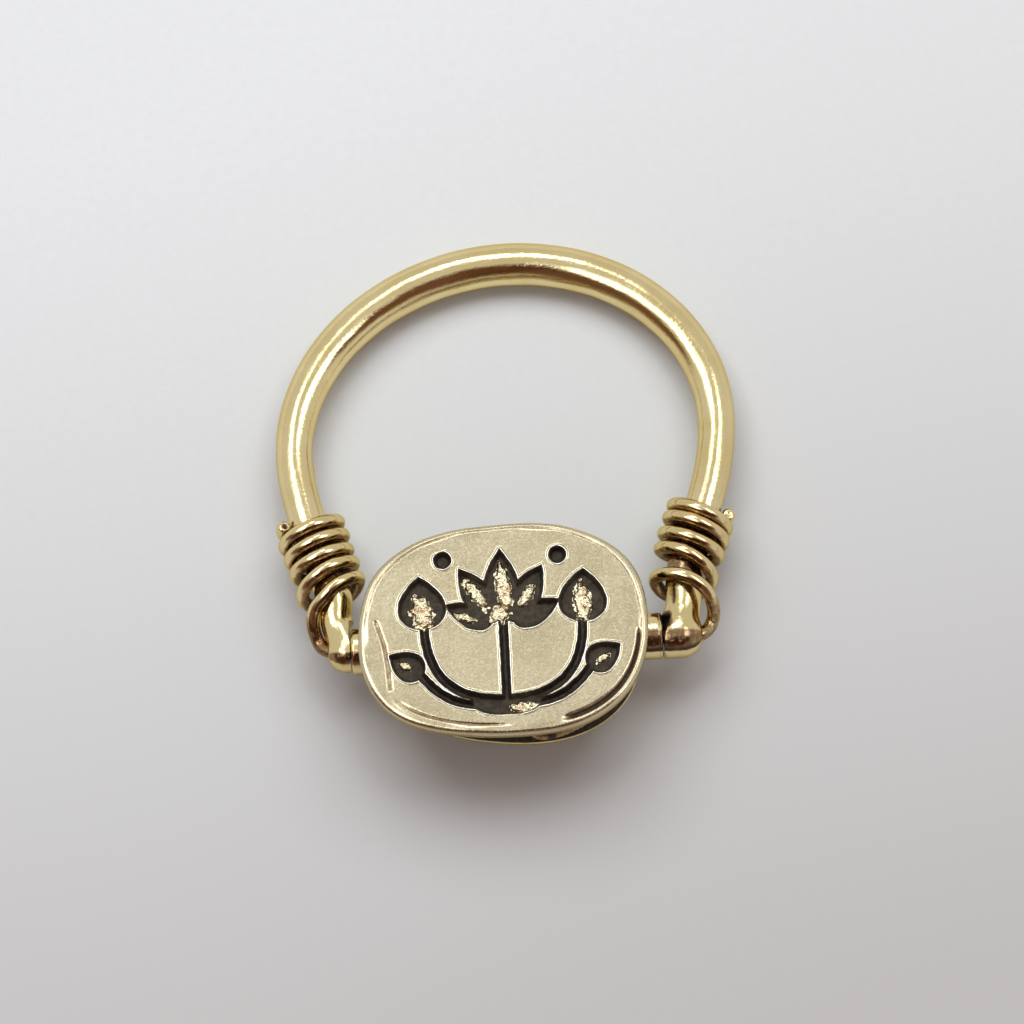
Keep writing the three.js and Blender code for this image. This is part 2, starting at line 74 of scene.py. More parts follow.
# Ripples of the rod's radius: share of the radius, radians a millimetre, waves round the rod, phase.
ROD_RIPPLES = (
    (0.004, 2.3, 2.0, 0.0),
    (0.003, 0.9, -3.0, 1.0),
)

# The faces that the collars run against.
FACE_X = 7.28
FACE_FRONT_Z = -0.45
FACE_FRONT_FADE = 1.1
FACE_RELEASE = 1.6
FACE_HEIGHT = 3.0
SCARAB_OFFSET_X = -0.12

# What differs from side to side. Turns are half turns, a climb is measured up the shoulder from the start of
# the loop, and the joints' painted reflection lies between two directions about the pivot, in degrees.
LEFT = {
    "sign": -1, "knuckle_x": -7.43, "knuckle_radius": 0.95, "knuckle_squareness": 2.0,
    "neck_dip": 0.1, "neck_shift": 0.26, "neck_at": 1.5, "neck_width": 0.8,
    "bow_pull": 3.0, "knuckle_pull": 2.6,
    "face_slant": 0.0, "face_foot": 0.0, "face_top": 1.25, "face_fade": 0.9,
    "loop_start": 1.35, "loop_lift": 0.65, "exit_drop": 0.0,
    "coil_slack": 0.2, "loop_slack": -0.25, "first_slack": 0.0, "end_slack": -0.1,
    "coil_turns": (0.0, 0.5, 1.0, 1.25, 1.5, 1.75, 2.0, 2.5, 4.5, 6.5, 8.5, 10.15),
    "coil_climb": (0.0, 1.66, 2.02, 1.72, 1.5, 1.55, 1.85, 2.54, 3.23, 3.98, 4.69, 5.3),
    "painted_reflection": 0.4, "painted_reflection_top": -10.0, "painted_reflection_top_fade": 8.0,
    "painted_reflection_foot": -56.0, "painted_reflection_foot_fade": 8.0, "painted_reflection_line": 0.0,
    "under_coil_painted_shade": 0.5, "painted_shade_from": 1.9, "loop_painted_reflection": 0.46, "end_pit": 1.0,
}
RIGHT = {
    "sign": 1, "knuckle_x": 8.05, "knuckle_radius": 1.08, "knuckle_squareness": 2.2,
    "neck_dip": 0.03, "neck_shift": 0.16, "neck_at": 1.6, "neck_width": 0.9,
    "bow_pull": 4.0, "knuckle_pull": 4.4,
    "face_slant": 0.4, "face_foot": -0.31, "face_top": 0.7, "face_fade": 0.35,
    "loop_start": 1.15, "loop_lift": 0.55, "exit_drop": 0.17,
    "coil_slack": 0.2, "loop_slack": 0.08, "first_slack": -0.1, "end_slack": -0.12,
    "coil_turns": (0.0, 0.5, 1.0, 1.25, 1.5, 1.75, 2.0, 2.5, 4.5, 6.5, 8.5, 10.0),
    "coil_climb": (0.0, 1.42, 1.5, 1.17, 0.95, 1.22, 1.72, 2.55, 3.25, 4.07, 4.68, 5.22),
    "painted_reflection": 0.42, "painted_reflection_top": 4.0, "painted_reflection_top_fade": 10.0,
    "painted_reflection_foot": -62.0, "painted_reflection_foot_fade": 6.0, "painted_reflection_line": 0.3,
    "under_coil_painted_shade": 0.42, "painted_shade_from": 2.2, "loop_painted_reflection": 0.36, "end_pit": 0.15,
}
# Where the joints' painted reflection has its black line, and its width, in degrees.
PAINTED_REFLECTION_LINE_AT = -53.0
PAINTED_REFLECTION_LINE_WIDTH = 6.0
# The dark V beside the right knuckle's face is painted shade, and so is the rod under the windings.
NOTCH_WIDTH = 0.55
NOTCH_PAINTED_SHADE = 0.75
PAINTED_SHADE_STOP = 0.25

# Pivot wire.
WIRE_RADIUS = 0.31
WIRE_SIDES = 36
WIRE_RINGS = 2400
COIL_STEPS = 1300
CLIMB_WINDOW = 61
LOOP_STEPS = 120
LOOP_REACH = 0.62
LOOP_RISE = 0.2
EXIT_DEPTH = 0.4
EXIT_BEND_START = 0.9
EXIT_BEND_END = 0.3
FIRST_SLACK_AT = 1.5
FIRST_SLACK_WIDTH = 0.7
END_SLACK_RUN = 0.8
COIL_WANDER = 0.02
WANDER_PACE = 1.16
COIL_FOOT_Y = 2.0
LOOP_TOP_Y = 2.1
LOOP_FRONT_Z = 0.8
BORE_TOP_Y = 0.4
COARSE_STEP = 8
CUT_END_DRAW = 0.07
CUT_END_RUN = 0.09
# Painted shade where the wire faces the rod, and a painted brown reflection on the turns' undersides.
FACING_ROD_PAINTED_SHADE = 0.6
UNDERSIDE_PAINTED_REFLECTION = 0.42

# Collars.
COLLAR_RADIUS = 1.08
COLLAR_EASE = 0.14
COLLAR_SWELL = 0.008
COLLAR_SIDES = 128
EASE_STEPS = 9
BARREL_STEPS = 25
PIN_BORE = 0.36
SEAT_GAP = 0.04

# Seal plate.
SEAL_HALF_LENGTH = 6.65
SEAL_HALF_WIDTH = 5.1
SEAL_HALVES = np.array([SEAL_HALF_LENGTH, SEAL_HALF_WIDTH])
SEAL_SQUARENESS = 2.47
SEAL_OFFSET_Y = 0.1
SEAL_TOP = 2.65
SEAL_UNDERSIDE = 1.7
SEAL_ROWS = 218
SEAL_COLUMNS = 290
EGG_SHARE = 0.035
FIELD_INSET = 0.98
FIELD_STEPS = 18
RIM_ROUND = 0.26
RIM_STEPS = 9

# Beetle.
BODY_HALF_LENGTH = 6.37
BODY_HALF_WIDTH = 4.7
BODY_SQUARENESS = 2.3
BODY_END_X = 6.09
BODY_OFFSET_Y = -0.14
BODY_ROWS = 200
BODY_COLUMNS = 280
BEETLE_ASKEW = -math.radians(6.0)
DOME_SQUARENESS = 2.35
BACK_DEPTH = 3.36
FLANGE = 0.12
RIM_FOOT = 0.25
RIM_TOP = 0.78
NECK_INSET = 1.25
NECK_TOP = SEAL_UNDERSIDE - SEAT_GAP

swivel = next(joint for joint in frame["joints"] if joint["name"] == "scarab_swivel")
pivot = np.array(swivel["pos_m"], float) / MM
scarab_lean = -math.radians(5.0)
hoop_lean = -math.asin((pivot[2] - ROD_RADIUS) / (BOW_FOOT_Y + BOW_RISE))


def smooth(value):
    """3v² - 2v³, with v held between 0 and 1."""
    held = np.clip(value, 0.0, 1.0)
    return held * held * (3.0 - 2.0 * held)


def above(value, start, fade):
    """0 up to a start and 1 from a fade beyond it, smooth between."""
    return smooth((value - start) / fade)


def below(value, end, fade):
    """1 up to a fade short of an end and 0 from the end on, smooth between."""
    return smooth((end - value) / fade)


def bell(distance, width):
    """1 on a middle line, falling off by exp(-(distance / width)²)."""
    return np.exp(-((distance / width) ** 2))


def unit(vectors):
    """Each vector over its own length."""
    return vectors / np.linalg.norm(vectors, axis=-1, keepdims=True)


def leaned(points, lean, origin):
    """Points turned about X by a lean, moved to an origin, and brought to metres."""
    cos, sin = math.cos(lean), math.sin(lean)
    x, y, z = points[..., 0], points[..., 1], points[..., 2]
    turned = np.stack([x, y * cos - z * sin, y * sin + z * cos], axis=-1)
    return (turned + origin) * MM


def on_hoop(points):
    """From the hoop's frame to the row's."""
    return leaned(points, hoop_lean, pivot - [SCARAB_OFFSET_X, 0.0, 0.0])


def on_scarab(points):
    """From the scarab's frame to the row's."""
    return leaned(points, scarab_lean, pivot)


def quadratic(a, b, c, count):
    """Curve from a to c drawn towards b: the weights are (1-t)², 2(1-t)t and t²."""
    t = np.linspace(0.0, 1.0, count)[:, None]
    return (1 - t) ** 2 * a + 2 * (1 - t) * t * b + t * t * c


def bezier(knots, count):
    """Cubic through four knots: the weights are (1-t)³, 3(1-t)²t, 3(1-t)t² and t³."""
    t = np.linspace(0.0, 1.0, count)[:, None]
    a, b, c, d = (np.asarray(knot, float) for knot in knots)
    s = 1.0 - t
    return s**3 * a + 3 * s * s * t * b + 3 * s * t * t * c + t**3 * d


def lengths_along(points):
    """How far along a line of points each of them lies."""
    steps = np.linalg.norm(np.diff(points, axis=0), axis=1)
    return np.concatenate([[0.0], np.cumsum(steps)])


def resampled(columns, travelled, wanted):
    """Rows of values given at travelled lengths, read off at the wanted ones."""
    return np.stack([np.interp(wanted, travelled, column) for column in columns.T], axis=-1)


def evenly(points, count):
    """The same line with its points evenly spaced along it."""
    travelled = lengths_along(points)
    return resampled(points, travelled, np.linspace(0.0, travelled[-1], count))


def carried_frames(path):
    """Two directions square to a path at each point. Each side direction is the last one with its part along
    the path taken out, so that the section doesn't twist."""
    along = unit(np.gradient(path, axis=0))
    side = np.array([0.0, 0.0, 1.0]) if abs(along[0][2]) < 0.9 else np.array([1.0, 0.0, 0.0])
    sides = []
    for direction in along:
        side = side - direction * (side @ direction)
        side = side / math.sqrt(side @ side)
        sides.append(side)
    sides = np.array(sides)
    return sides, np.cross(along, sides)


def round_offsets(side, across, turn):
    """Unit directions of a round section at each point of a path and each turn of the section."""
    return side[:, None] * np.cos(turn)[None, :, None] + across[:, None] * np.sin(turn)[None, :, None]


class Shell:
    """Vertices and faces gathered from grids, made into one piece at the end."""

    def __init__(self):
        self.points, self.faces, self.marks, self.count = [], [], {}, 0

    def add(self, points, **marks):
        """Adds loose vertices with their marks and returns the index of the first."""
        flat = np.asarray(points, float).reshape(-1, 3)
        first = self.count
        self.points.append(flat)
        for name, values in marks.items():
            width = 3 if name == "grain" else 1
            self.marks.setdefault(name, []).append((first, np.asarray(values, float).reshape(-1, width)))
        self.count += len(flat)
        return first

    def grid(self, points, around=False, **marks):
        """A grid of points (rows, columns) skinned with quads; around joins the last column to the first."""
        rows, columns = points.shape[:2]
        index = self.add(points, **marks) + np.arange(rows * columns).reshape(rows, columns)
        beside = np.roll(index, -1, axis=1) if around else index[:, 1:]
        here = index if around else index[:, :-1]
        quads = np.stack([here[:-1], beside[:-1], beside[1:], here[1:]], axis=-1)
        self.faces.append(quads.reshape(-1, 4))
        return index

    def ring(self, last, points, **marks):
        """A closed ring of new points joined by quads to the last ring of vertex indices."""
        index = self.add(points, **marks) + np.arange(len(points))
        self.join(last, index)
        return index

    def join(self, ring, other):
        """Quads between two closed rings of vertex indices."""
        quads = np.stack([ring, np.roll(ring, -1), np.roll(other, -1), other], axis=-1)
        self.faces.append(quads)

    def close(self, ring, hub, **marks):
        """A fan from a closed ring of vertex indices to a hub point."""
        middle = self.add([hub], **marks)
        fan = np.stack([ring, np.roll(ring, -1), np.full(len(ring), middle)], axis=-1)
        self.faces.append(fan)

    def piece(self, name, body, slot, nodes, material, place):
        """The finished object, smooth, with its faces outwards, riding on its body in place of its nodes."""
        points = place(np.concatenate(self.points))
        faces = [face for block in self.faces for face in block.tolist()]
        mesh = bpy.data.meshes.new(name)
        mesh.from_pydata(points.tolist(), [], faces)
        for mark, blocks in self.marks.items():
            width = blocks[0][1].shape[1]
            values = np.zeros((self.count, width))
            for first, block in blocks:
                values[first:first + len(block)] = block
            kind, key = ("FLOAT_VECTOR", "vector") if width == 3 else ("FLOAT", "value")
            layer = mesh.attributes.new(mark, kind, "POINT")
            layer.data.foreach_set(key, values.ravel().astype(np.float32))
        shell = bmesh.new()
        shell.from_mesh(mesh)
        bmesh.ops.recalc_face_normals(shell, faces=shell.faces)
        shell.to_mesh(mesh)
        shell.free()
        mesh.shade_smooth()
        mesh.validate()
        piece = bpy.data.objects.new(name, mesh)
        bpy.context.scene.collection.objects.link(piece)
        mesh.materials.append(material)
        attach(piece, body)
        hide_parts(*nodes)
        return piece


# The hoop.

def bow_point(turn):
    """Half ellipse, right foot at turn 0 and left foot at pi, its top drawn to the right by the skew."""
    x = BOW_OFFSET_X + BOW_HALF_WIDTH * np.cos(turn) + BOW_SKEW * np.sin(turn)
    return np.stack([x, BOW_FOOT_Y + BOW_RISE * np.sin(turn), np.zeros_like(x)], axis=-1)


def neck(side, distance):
    """A bell curve over the neck above the knuckle."""
    return bell(distance - side["neck_at"], side["neck_width"])


def shoulder_line(side):
    """The cubic from the knuckle up to the foot of the bow, which it meets in line, bent out at the neck."""
    foot = bow_point(np.array([0.0 if side["sign"] > 0 else math.pi]))[0]
    knuckle = np.array([side["knuckle_x"], 0.0, 0.0])
    pulled = knuckle + [side["sign"] * KNUCKLE_SET, side["knuckle_pull"], 0.0]
    drawn = foot - np.array([BOW_SKEW, BOW_RISE, 0.0]) * side["bow_pull"] / BOW_RISE
    line = evenly(bezier([knuckle, pulled, drawn, foot], SHOULDER_STEPS), SHOULDER_STEPS)
    distance = np.linalg.norm(line - knuckle, axis=1)
    line[:, 0] += side["sign"] * side["neck_shift"] * neck(side, distance)
    return line


def shoulder_radius(side, distance):
    """The knuckle's radius running out to the shoulder's by the smooth step of distance / run-out, less the
    dip of the neck."""
    share = smooth(distance / KNUCKLE_RUN_OUT)
    radius = side["knuckle_radius"] + (SHOULDER_RADIUS - side["knuckle_radius"]) * share
    return radius - side["neck_dip"] * neck(side, distance)


def hoop_line(count):
    """The hoop's middle line from the left knuckle to the right with the rod's radius as a fourth column,
    evenly spaced, and how far along it each point lies."""
    lines = {}
    for side in (LEFT, RIGHT):
        line = shoulder_line(side)
        distance = np.linalg.norm(line - line[0], axis=1)
        lines[side["sign"]] = np.column_stack([line, shoulder_radius(side, distance)])
    turn = np.linspace(math.pi, 0.0, BOW_STEPS)[1:-1]
    radius = SHOULDER_RADIUS + (ROD_RADIUS - SHOULDER_RADIUS) * np.sin(turn)
    bow = np.column_stack([bow_point(turn), radius])
    whole = np.concatenate([lines[-1], bow, lines[1][::-1]])
    travelled = lengths_along(whole[:, :3])
    wanted = np.linspace(0.0, travelled[-1], count)
    return resampled(whole, travelled, wanted), wanted


def barrelled(points, side):
    """Draws the collar's side of the knuckle from a ball to a barrel about the pivot. Along each ray from its
    middle the reach becomes (u^n + q^n)^(-1/n), for its shares u along the pivot and q across it. The change
    fades out up the neck."""
    middle = np.array([side["knuckle_x"], 0.0, 0.0])
    offset = (points - middle) / side["knuckle_radius"]
    along = np.clip(-offset[..., 0] * side["sign"], 0.0, 1.0)
    across = np.hypot(offset[..., 1], offset[..., 2])
    ball = np.hypot(along, across)
    barrel = (along ** BARREL_POWER + across ** BARREL_POWER) ** (1.0 / BARREL_POWER)
    stretch = ball / np.maximum(barrel, TINY) - 1.0
    near = below(points[..., 1], BARREL_TOP, BARREL_TOP) * (points[..., 0] * side["sign"] > 0.0)
    return middle + (points - middle) * (1.0 + stretch * near)[..., None]


def faced(points, side):
    """Holds the knuckle outside the face that the collar runs against. In front the face leans by its slant,
    and it fades out above its top, where the rod is free to come in again."""
    x, y, z = points[..., 0], points[..., 1], points[..., 2]
    rise = np.clip(y - side["face_foot"], 0.0, side["face_top"] - side["face_foot"])
    reach = FACE_X + side["face_slant"] * rise * above(z, FACE_FRONT_Z, FACE_FRONT_FADE)
    reach = reach - FACE_RELEASE * above(y, side["face_top"], side["face_fade"])
    out = x * side["sign"]
    near = (y < FACE_HEIGHT) & (out > 0.0)
    held = np.where(near, np.maximum(out, reach), out)
    return np.stack([held * side["sign"], y, z], axis=-1)


def joint_painted_reflection(points):
    """Painted reflection on the joints: a brown darkening over an arc about the pivot that faces front and
    down, standing in for the dim brown room mirrored there. On the right it has a painted black line near its
    foot;
    on the left it is narrower and has none."""
    turned = np.degrees(np.arctan2(points[..., 1], points[..., 2]))
    line = bell(turned - PAINTED_REFLECTION_LINE_AT, PAINTED_REFLECTION_LINE_WIDTH)
    marks = []
    for side in (LEFT, RIGHT):
        arc = below(turned, side["painted_reflection_top"], side["painted_reflection_top_fade"])
        arc = arc * above(turned, side["painted_reflection_foot"], side["painted_reflection_foot_fade"])
        marks.append(side["painted_reflection"] * arc + side["painted_reflection_line"] * line)
    return np.where(points[..., 0] > 0.0, marks[1], marks[0])


def hoop_painted_shade_and_reflection(points, distance):
    """Painted reflection on the joints, painted shade in the notch beside the right knuckle's face, and
    painted shade on the rod under the two windings, from a little above their loops to their last turns."""
    x, y = points[..., 0], points[..., 1]
    painted_reflection = joint_painted_reflection(points) * below(y, end=1.3, fade=0.6)
    notch = below(x, end=FACE_X + NOTCH_WIDTH, fade=0.3) * above(y, start=-0.1, fade=0.3)
    notch = notch * below(y, end=1.2, fade=0.4) * (x > 0.0)
    painted_darkening = np.maximum(painted_reflection, NOTCH_PAINTED_SHADE * notch)
    for side, from_knuckle in ((LEFT, distance), (RIGHT, distance[-1] - distance)):
        start = side["loop_start"] + side["painted_shade_from"]
        end = side["loop_start"] + side["coil_climb"][-1] - PAINTED_SHADE_STOP
        under = above(from_knuckle, start, fade=0.4) * below(from_knuckle, end, fade=0.2)
        painted_darkening = np.maximum(painted_darkening, side["under_coil_painted_shade"] * under[:, None])
    return painted_darkening


def make_hoop(material):
    """A round section carried along the middle line. Each end is closed by a knuckle whose section shrinks by
    cos^(2/n) of the angle while it moves on by sin^(2/n), for a squareness n."""
    line, travelled = hoop_line(HOOP_RINGS)
    centre, radius = line[:, :3], line[:, 3]
    along = unit(np.gradient(centre, axis=0))
    angle = np.linspace(0.0, math.pi / 2.0, CAP_RINGS + 1)[1:-1]
    caps = []
    for side, end in ((LEFT, 0), (RIGHT, -1)):
        share = 2.0 / side["knuckle_squareness"]
        moved = side["sign"] * radius[end] * np.sin(angle) ** share
        shrunk = radius[end] * np.cos(angle) ** share
        middle = centre[end] + along[end] * moved[:, None]
        caps.append((middle, shrunk, np.repeat(along[end][None], len(angle), axis=0), moved))
    left, right = caps
    centres = np.concatenate([left[0][::-1], centre, right[0]])
    radii = np.concatenate([left[1][::-1], radius, right[1]])
    alongs = np.concatenate([left[2], along, right[2]])
    distance = np.concatenate([left[3][::-1], travelled, travelled[-1] + right[3]])
    turn = np.linspace(0.0, FULL_TURN, HOOP_SIDES, endpoint=False)
    ripple = np.ones((len(distance), HOOP_SIDES))
    for height, pace, waves_round, phase in ROD_RIPPLES:
        ripple = ripple + height * np.sin(distance[:, None] * pace + waves_round * turn + phase)
    inward = np.stack([alongs[:, 1], -alongs[:, 0], np.zeros(len(alongs))], axis=-1)
    front = np.broadcast_to([0.0, 0.0, 1.0], inward.shape)
    points = centres[:, None] + round_offsets(inward, front, turn) * (radii[:, None] * ripple)[..., None]
    points = barrelled(barrelled(points, LEFT), RIGHT)
    points = faced(faced(points, LEFT), RIGHT)
    grain = np.stack([
        np.cos(turn)[None] * radii[:, None],
        np.sin(turn)[None] * radii[:, None],
        np.broadcast_to(distance[:, None], points.shape[:2]),
    ], axis=-1)
    shell = Shell()
    index = shell.grid(points, around=True, grain=grain, patina=hoop_painted_shade_and_reflection(points, distance))
    for side, ring, end in ((LEFT, index[0][::-1], 0), (RIGHT, index[-1], -1)):
        hub = centre[end] + along[end] * side["sign"] * radius[end]
        shell.close(ring, hub, grain=[[0.0, 0.0, distance[end]]], patina=[0.0])
    return shell.piece("hoop_rod", "ring", "polished_gold", ["hoop"], material, on_hoop)


# The pivot wire.

def leaving_x(side):
    """How far out the wire leaves the knuckle."""
    return abs(side["knuckle_x"]) + side["knuckle_radius"] - EXIT_DEPTH


def climbed(side, turn):
    """How far up the shoulder the wire has come at each half turn: the side's steps, rounded off by a running
    mean weighted by a raised cosine."""
    climb = np.interp(turn, side["coil_turns"], side["coil_climb"])
    weights = np.hanning(CLIMB_WINDOW)
    half = CLIMB_WINDOW // 2
    before = 2 * climb[0] - climb[half:0:-1]
    after = 2 * climb[-1] - climb[-2:-2 - half:-1]
    return np.convolve(np.concatenate([before, climb, after]), weights / weights.sum(), mode="valid")


def slackness(side, turn):
    """How far the wire stands off the rod at each half turn: the coil's slack, with its change in the loop,
    in the first turn and at the cut end, and a small wander."""
    slack = side["coil_slack"] + side["loop_slack"] * (1.0 - smooth(turn))
    slack = slack + side["first_slack"] * bell(turn - FIRST_SLACK_AT, FIRST_SLACK_WIDTH)
    slack = slack + side["end_slack"] * above(turn, turn[-1] - END_SLACK_RUN, END_SLACK_RUN)
    return slack + COIL_WANDER * np.sin(turn * WANDER_PACE + side["sign"])


def coil_path(side):
    """The winding: the wire stands off the rod's middle line by its radius, outwards by the cosine of the
    turn and forwards by its sine, and it climbs the shoulder."""
    line = shoulder_line(side)
    travelled = lengths_along(line)
    turn = np.linspace(0.0, side["coil_turns"][-1], COIL_STEPS)
    distance = side["loop_start"] + climbed(side, turn)
    centre = resampled(line, travelled, distance)
    along = unit(resampled(unit(np.gradient(line, axis=0)), travelled, distance))
    outward = np.stack([along[:, 1], -along[:, 0], np.zeros(len(along))], axis=-1) * side["sign"]
    radius = SHOULDER_RADIUS + WIRE_RADIUS + slackness(side, turn)
    coil = centre + outward * (radius * np.cos(turn * math.pi))[:, None]
    coil[:, 2] += radius * np.sin(turn * math.pi)
    return coil


def wire_end(side):
    """One end of the wire from the middle of the scarab outwards: straight to the knuckle's outer side, a
    loop up to the outer side of the shoulder, then the coil."""
    coil = coil_path(side)
    onward = unit(coil[1] - coil[0])
    sign, leave_x, drop = side["sign"], leaving_x(side), -side["exit_drop"]
    straight = bezier([
        [0.0, 0.0, 0.0],
        [sign * (leave_x - EXIT_BEND_START), 0.0, 0.0],
        [sign * (leave_x - EXIT_BEND_END), drop, 0.0],
        [sign * leave_x, drop, 0.0],
    ], LOOP_STEPS)
    loop = bezier([
        [sign * leave_x, drop, 0.0],
        [sign * (leave_x + LOOP_REACH), LOOP_RISE + drop, 0.0],
        coil[0] - onward * side["loop_lift"],
        coil[0],
    ], LOOP_STEPS)
    return np.concatenate([straight[:-1], loop[:-1], coil])


def wire_painted_shade_and_reflection(path, offset):
    """Painted shade where the wire faces the rod: the more the section's direction points at the rod's middle
    line.
    The undersides of the turns and the loops get a painted brown reflection, and inside the joints the wire
    is painted black as shade."""
    painted_darkening = np.zeros(offset.shape[:2])
    x, y, z = path.T
    for side in (LEFT, RIGHT):
        out = x * side["sign"]
        line = shoulder_line(side)[::COARSE_STEP]
        away = np.linalg.norm(path[:, None] - line[None], axis=2)
        inward = unit(line[np.argmin(away, axis=1)] - path)
        facing = np.einsum("ijk,ik->ij", offset, inward)
        wound = (out > 0.0) & (y > COIL_FOOT_Y)
        between = FACING_ROD_PAINTED_SHADE * above(facing, start=0.3, fade=0.5)
        under = UNDERSIDE_PAINTED_REFLECTION * below(offset[..., 1], end=-0.1, fade=0.5)
        under = under * below(offset[..., 0] * side["sign"], end=0.55, fade=0.5)
        painted_darkening = np.maximum(painted_darkening, np.maximum(between, under) * wound[:, None])
        looped = (out > leaving_x(side)) * below(y, end=LOOP_TOP_Y, fade=1.0) * (z < LOOP_FRONT_Z)
        painted_darkening = np.maximum(painted_darkening, side["loop_painted_reflection"] * looped[:, None])
    inside = (x > LEFT["knuckle_x"]) & (x < RIGHT["knuckle_x"]) & (y < BORE_TOP_Y)
    return np.maximum(painted_darkening, inside[:, None])


def make_wire(material):
    """A round section carried along the whole wire. Its two cut ends are drawn in over a short distance and
    closed by rings that step in to a pit."""
    path = np.concatenate([wire_end(LEFT)[:0:-1], wire_end(RIGHT)])
    path = evenly(path, WIRE_RINGS)
    turn = np.linspace(0.0, FULL_TURN, WIRE_SIDES, endpoint=False)
    offset = round_offsets(*carried_frames(path), turn)
    travelled = np.arange(len(path)) * np.linalg.norm(path[1] - path[0])
    from_end = np.minimum(travelled, travelled[-1] - travelled)
    drawn = 1.0 - np.sqrt(np.clip(from_end / CUT_END_RUN, 0.0, 1.0))
    radius = WIRE_RADIUS - CUT_END_DRAW * drawn
    points = path[:, None] + offset * radius[:, None, None]
    grain = np.stack([
        np.broadcast_to(np.cos(turn)[None] * WIRE_RADIUS, points.shape[:2]),
        np.broadcast_to(np.sin(turn)[None] * WIRE_RADIUS, points.shape[:2]),
        np.broadcast_to(travelled[:, None], points.shape[:2]),
    ], axis=-1)
    shell = Shell()
    index = shell.grid(points, around=True, grain=grain, patina=wire_painted_shade_and_reflection(path, offset))
    for side, last, end, inner in ((LEFT, index[0], 0, 1), (RIGHT, index[-1], -1, -2)):
        pit = side["end_pit"]
        end_grain = [[0.0, 0.0, travelled[end]]]
        for share, steps_in, mark in ((0.8, -0.4, 0.0), (0.55, -0.2, 0.35 * pit), (0.3, 3.0 * pit, pit)):
            middle = path[end] + (path[inner] - path[end]) * steps_in
            rim = middle + (points[end] - path[end]) * share
            last = shell.ring(last, rim, grain=end_grain * WIRE_SIDES, patina=np.full(WIRE_SIDES, mark))
        shell.close(last, middle, grain=end_grain, patina=[pit])
    return shell.piece("pivot_wire_wound", "ring", "wire_gold", ["pivot_wire"], material, on_hoop)


# The collars.

def make_collar(name, node, low_x, high_x, material):
    """A profile turned about the pivot: a bore, two flat ends with eased rims, and a barrel that swells by a
    hair between them."""
    corner = np.linspace(0.0, math.pi / 2.0, EASE_STEPS)
    short, deep = COLLAR_EASE * (1 - np.cos(corner)), COLLAR_EASE * (1 - np.sin(corner))
    left = np.stack([low_x + deep, COLLAR_RADIUS - short], axis=-1)
    right = np.stack([high_x - short, COLLAR_RADIUS - deep], axis=-1)
    t = np.linspace(0.0, 1.0, BARREL_STEPS)
    barrel = np.stack([
        low_x + COLLAR_EASE + (high_x - low_x - 2 * COLLAR_EASE) * t,
        COLLAR_RADIUS + COLLAR_SWELL * np.sin(math.pi * t),
    ], axis=-1)[1:-1]
    bore_x = (high_x, high_x - COLLAR_EASE, low_x + COLLAR_EASE, low_x)
    bore = np.array([[x, PIN_BORE] for x in bore_x])
    profile = np.concatenate([left[::-1], barrel, right, bore])
    turn = np.linspace(0.0, FULL_TURN, COLLAR_SIDES, endpoint=False)
    points = np.stack([
        np.broadcast_to(profile[:, 0][:, None], (len(profile), len(turn))),
        profile[:, 1][:, None] * np.cos(turn),
        profile[:, 1][:, None] * np.sin(turn),
    ], axis=-1)
    grain = np.roll(points, -1, axis=-1)
    shell = Shell()
    # The collar's front and lower arc get the joints' painted reflection.
    index = shell.grid(points, around=True, grain=grain, patina=joint_painted_reflection(points))
    shell.join(index[-1], index[0])
    return shell.piece(name, node, "polished_gold", [node], material, on_hoop)


# Ovals of the seal and the beetle.

def oval(phi, half_length, half_width, squareness, inset=0.0):
    """Superellipse by direction: the reach is (|cos|^n + |sin|^n)^(-1/n) and the width grows towards +X."""
    reach = (np.abs(np.cos(phi)) ** squareness + np.abs(np.sin(phi)) ** squareness) ** (-1.0 / squareness)
    length_share = reach * np.cos(phi)
    x = (half_length - inset) * length_share
    y = (half_width - inset) * reach * np.sin(phi) * (1.0 + EGG_SHARE * length_share)
    return x, y


def pressed_square(rows, columns):
    """A square grid pressed into a disc: u = p·sqrt(1 - q²/2) and v = q·sqrt(1 - p²/2). Returns the radius
    and direction of every grid point and the indices of the points round the edge, clockwise."""
    p, q = np.meshgrid(np.linspace(-1.0, 1.0, columns), np.linspace(-1.0, 1.0, rows))
    u = p * np.sqrt(1.0 - q * q / 2.0)
    v = q * np.sqrt(1.0 - p * p / 2.0)
    index = np.arange(rows * columns).reshape(rows, columns)
    edge = np.concatenate([index[0, :-1], index[:-1, -1], index[-1, :0:-1], index[:0:-1, 0]])[::-1]
    return np.hypot(u, v), np.arctan2(v, u), edge


def waves(x, y, size, seed):
    """A cheap rough surface: six sine waves of about one size, each in its own direction and phase."""
    draw = np.random.default_rng(seed)
    total = np.zeros(np.shape(x))
    for _ in range(6):
        angle = draw.uniform(0.0, math.pi)
        length = size * draw.uniform(0.7, 1.5)
        phase = draw.uniform(0.0, FULL_TURN)
        total += np.sin((x * math.cos(angle) + y * math.sin(angle)) * FULL_TURN / length + phase)
    return total / 6.0


def around(phi, middle, half, fade):
    """1 within a half angle of a direction on the oval, 0 a fade further out, all in degrees."""
    away = np.abs((np.degrees(phi) - middle + 180.0) % 360.0 - 180.0)
    return below(away, half + fade, fade)


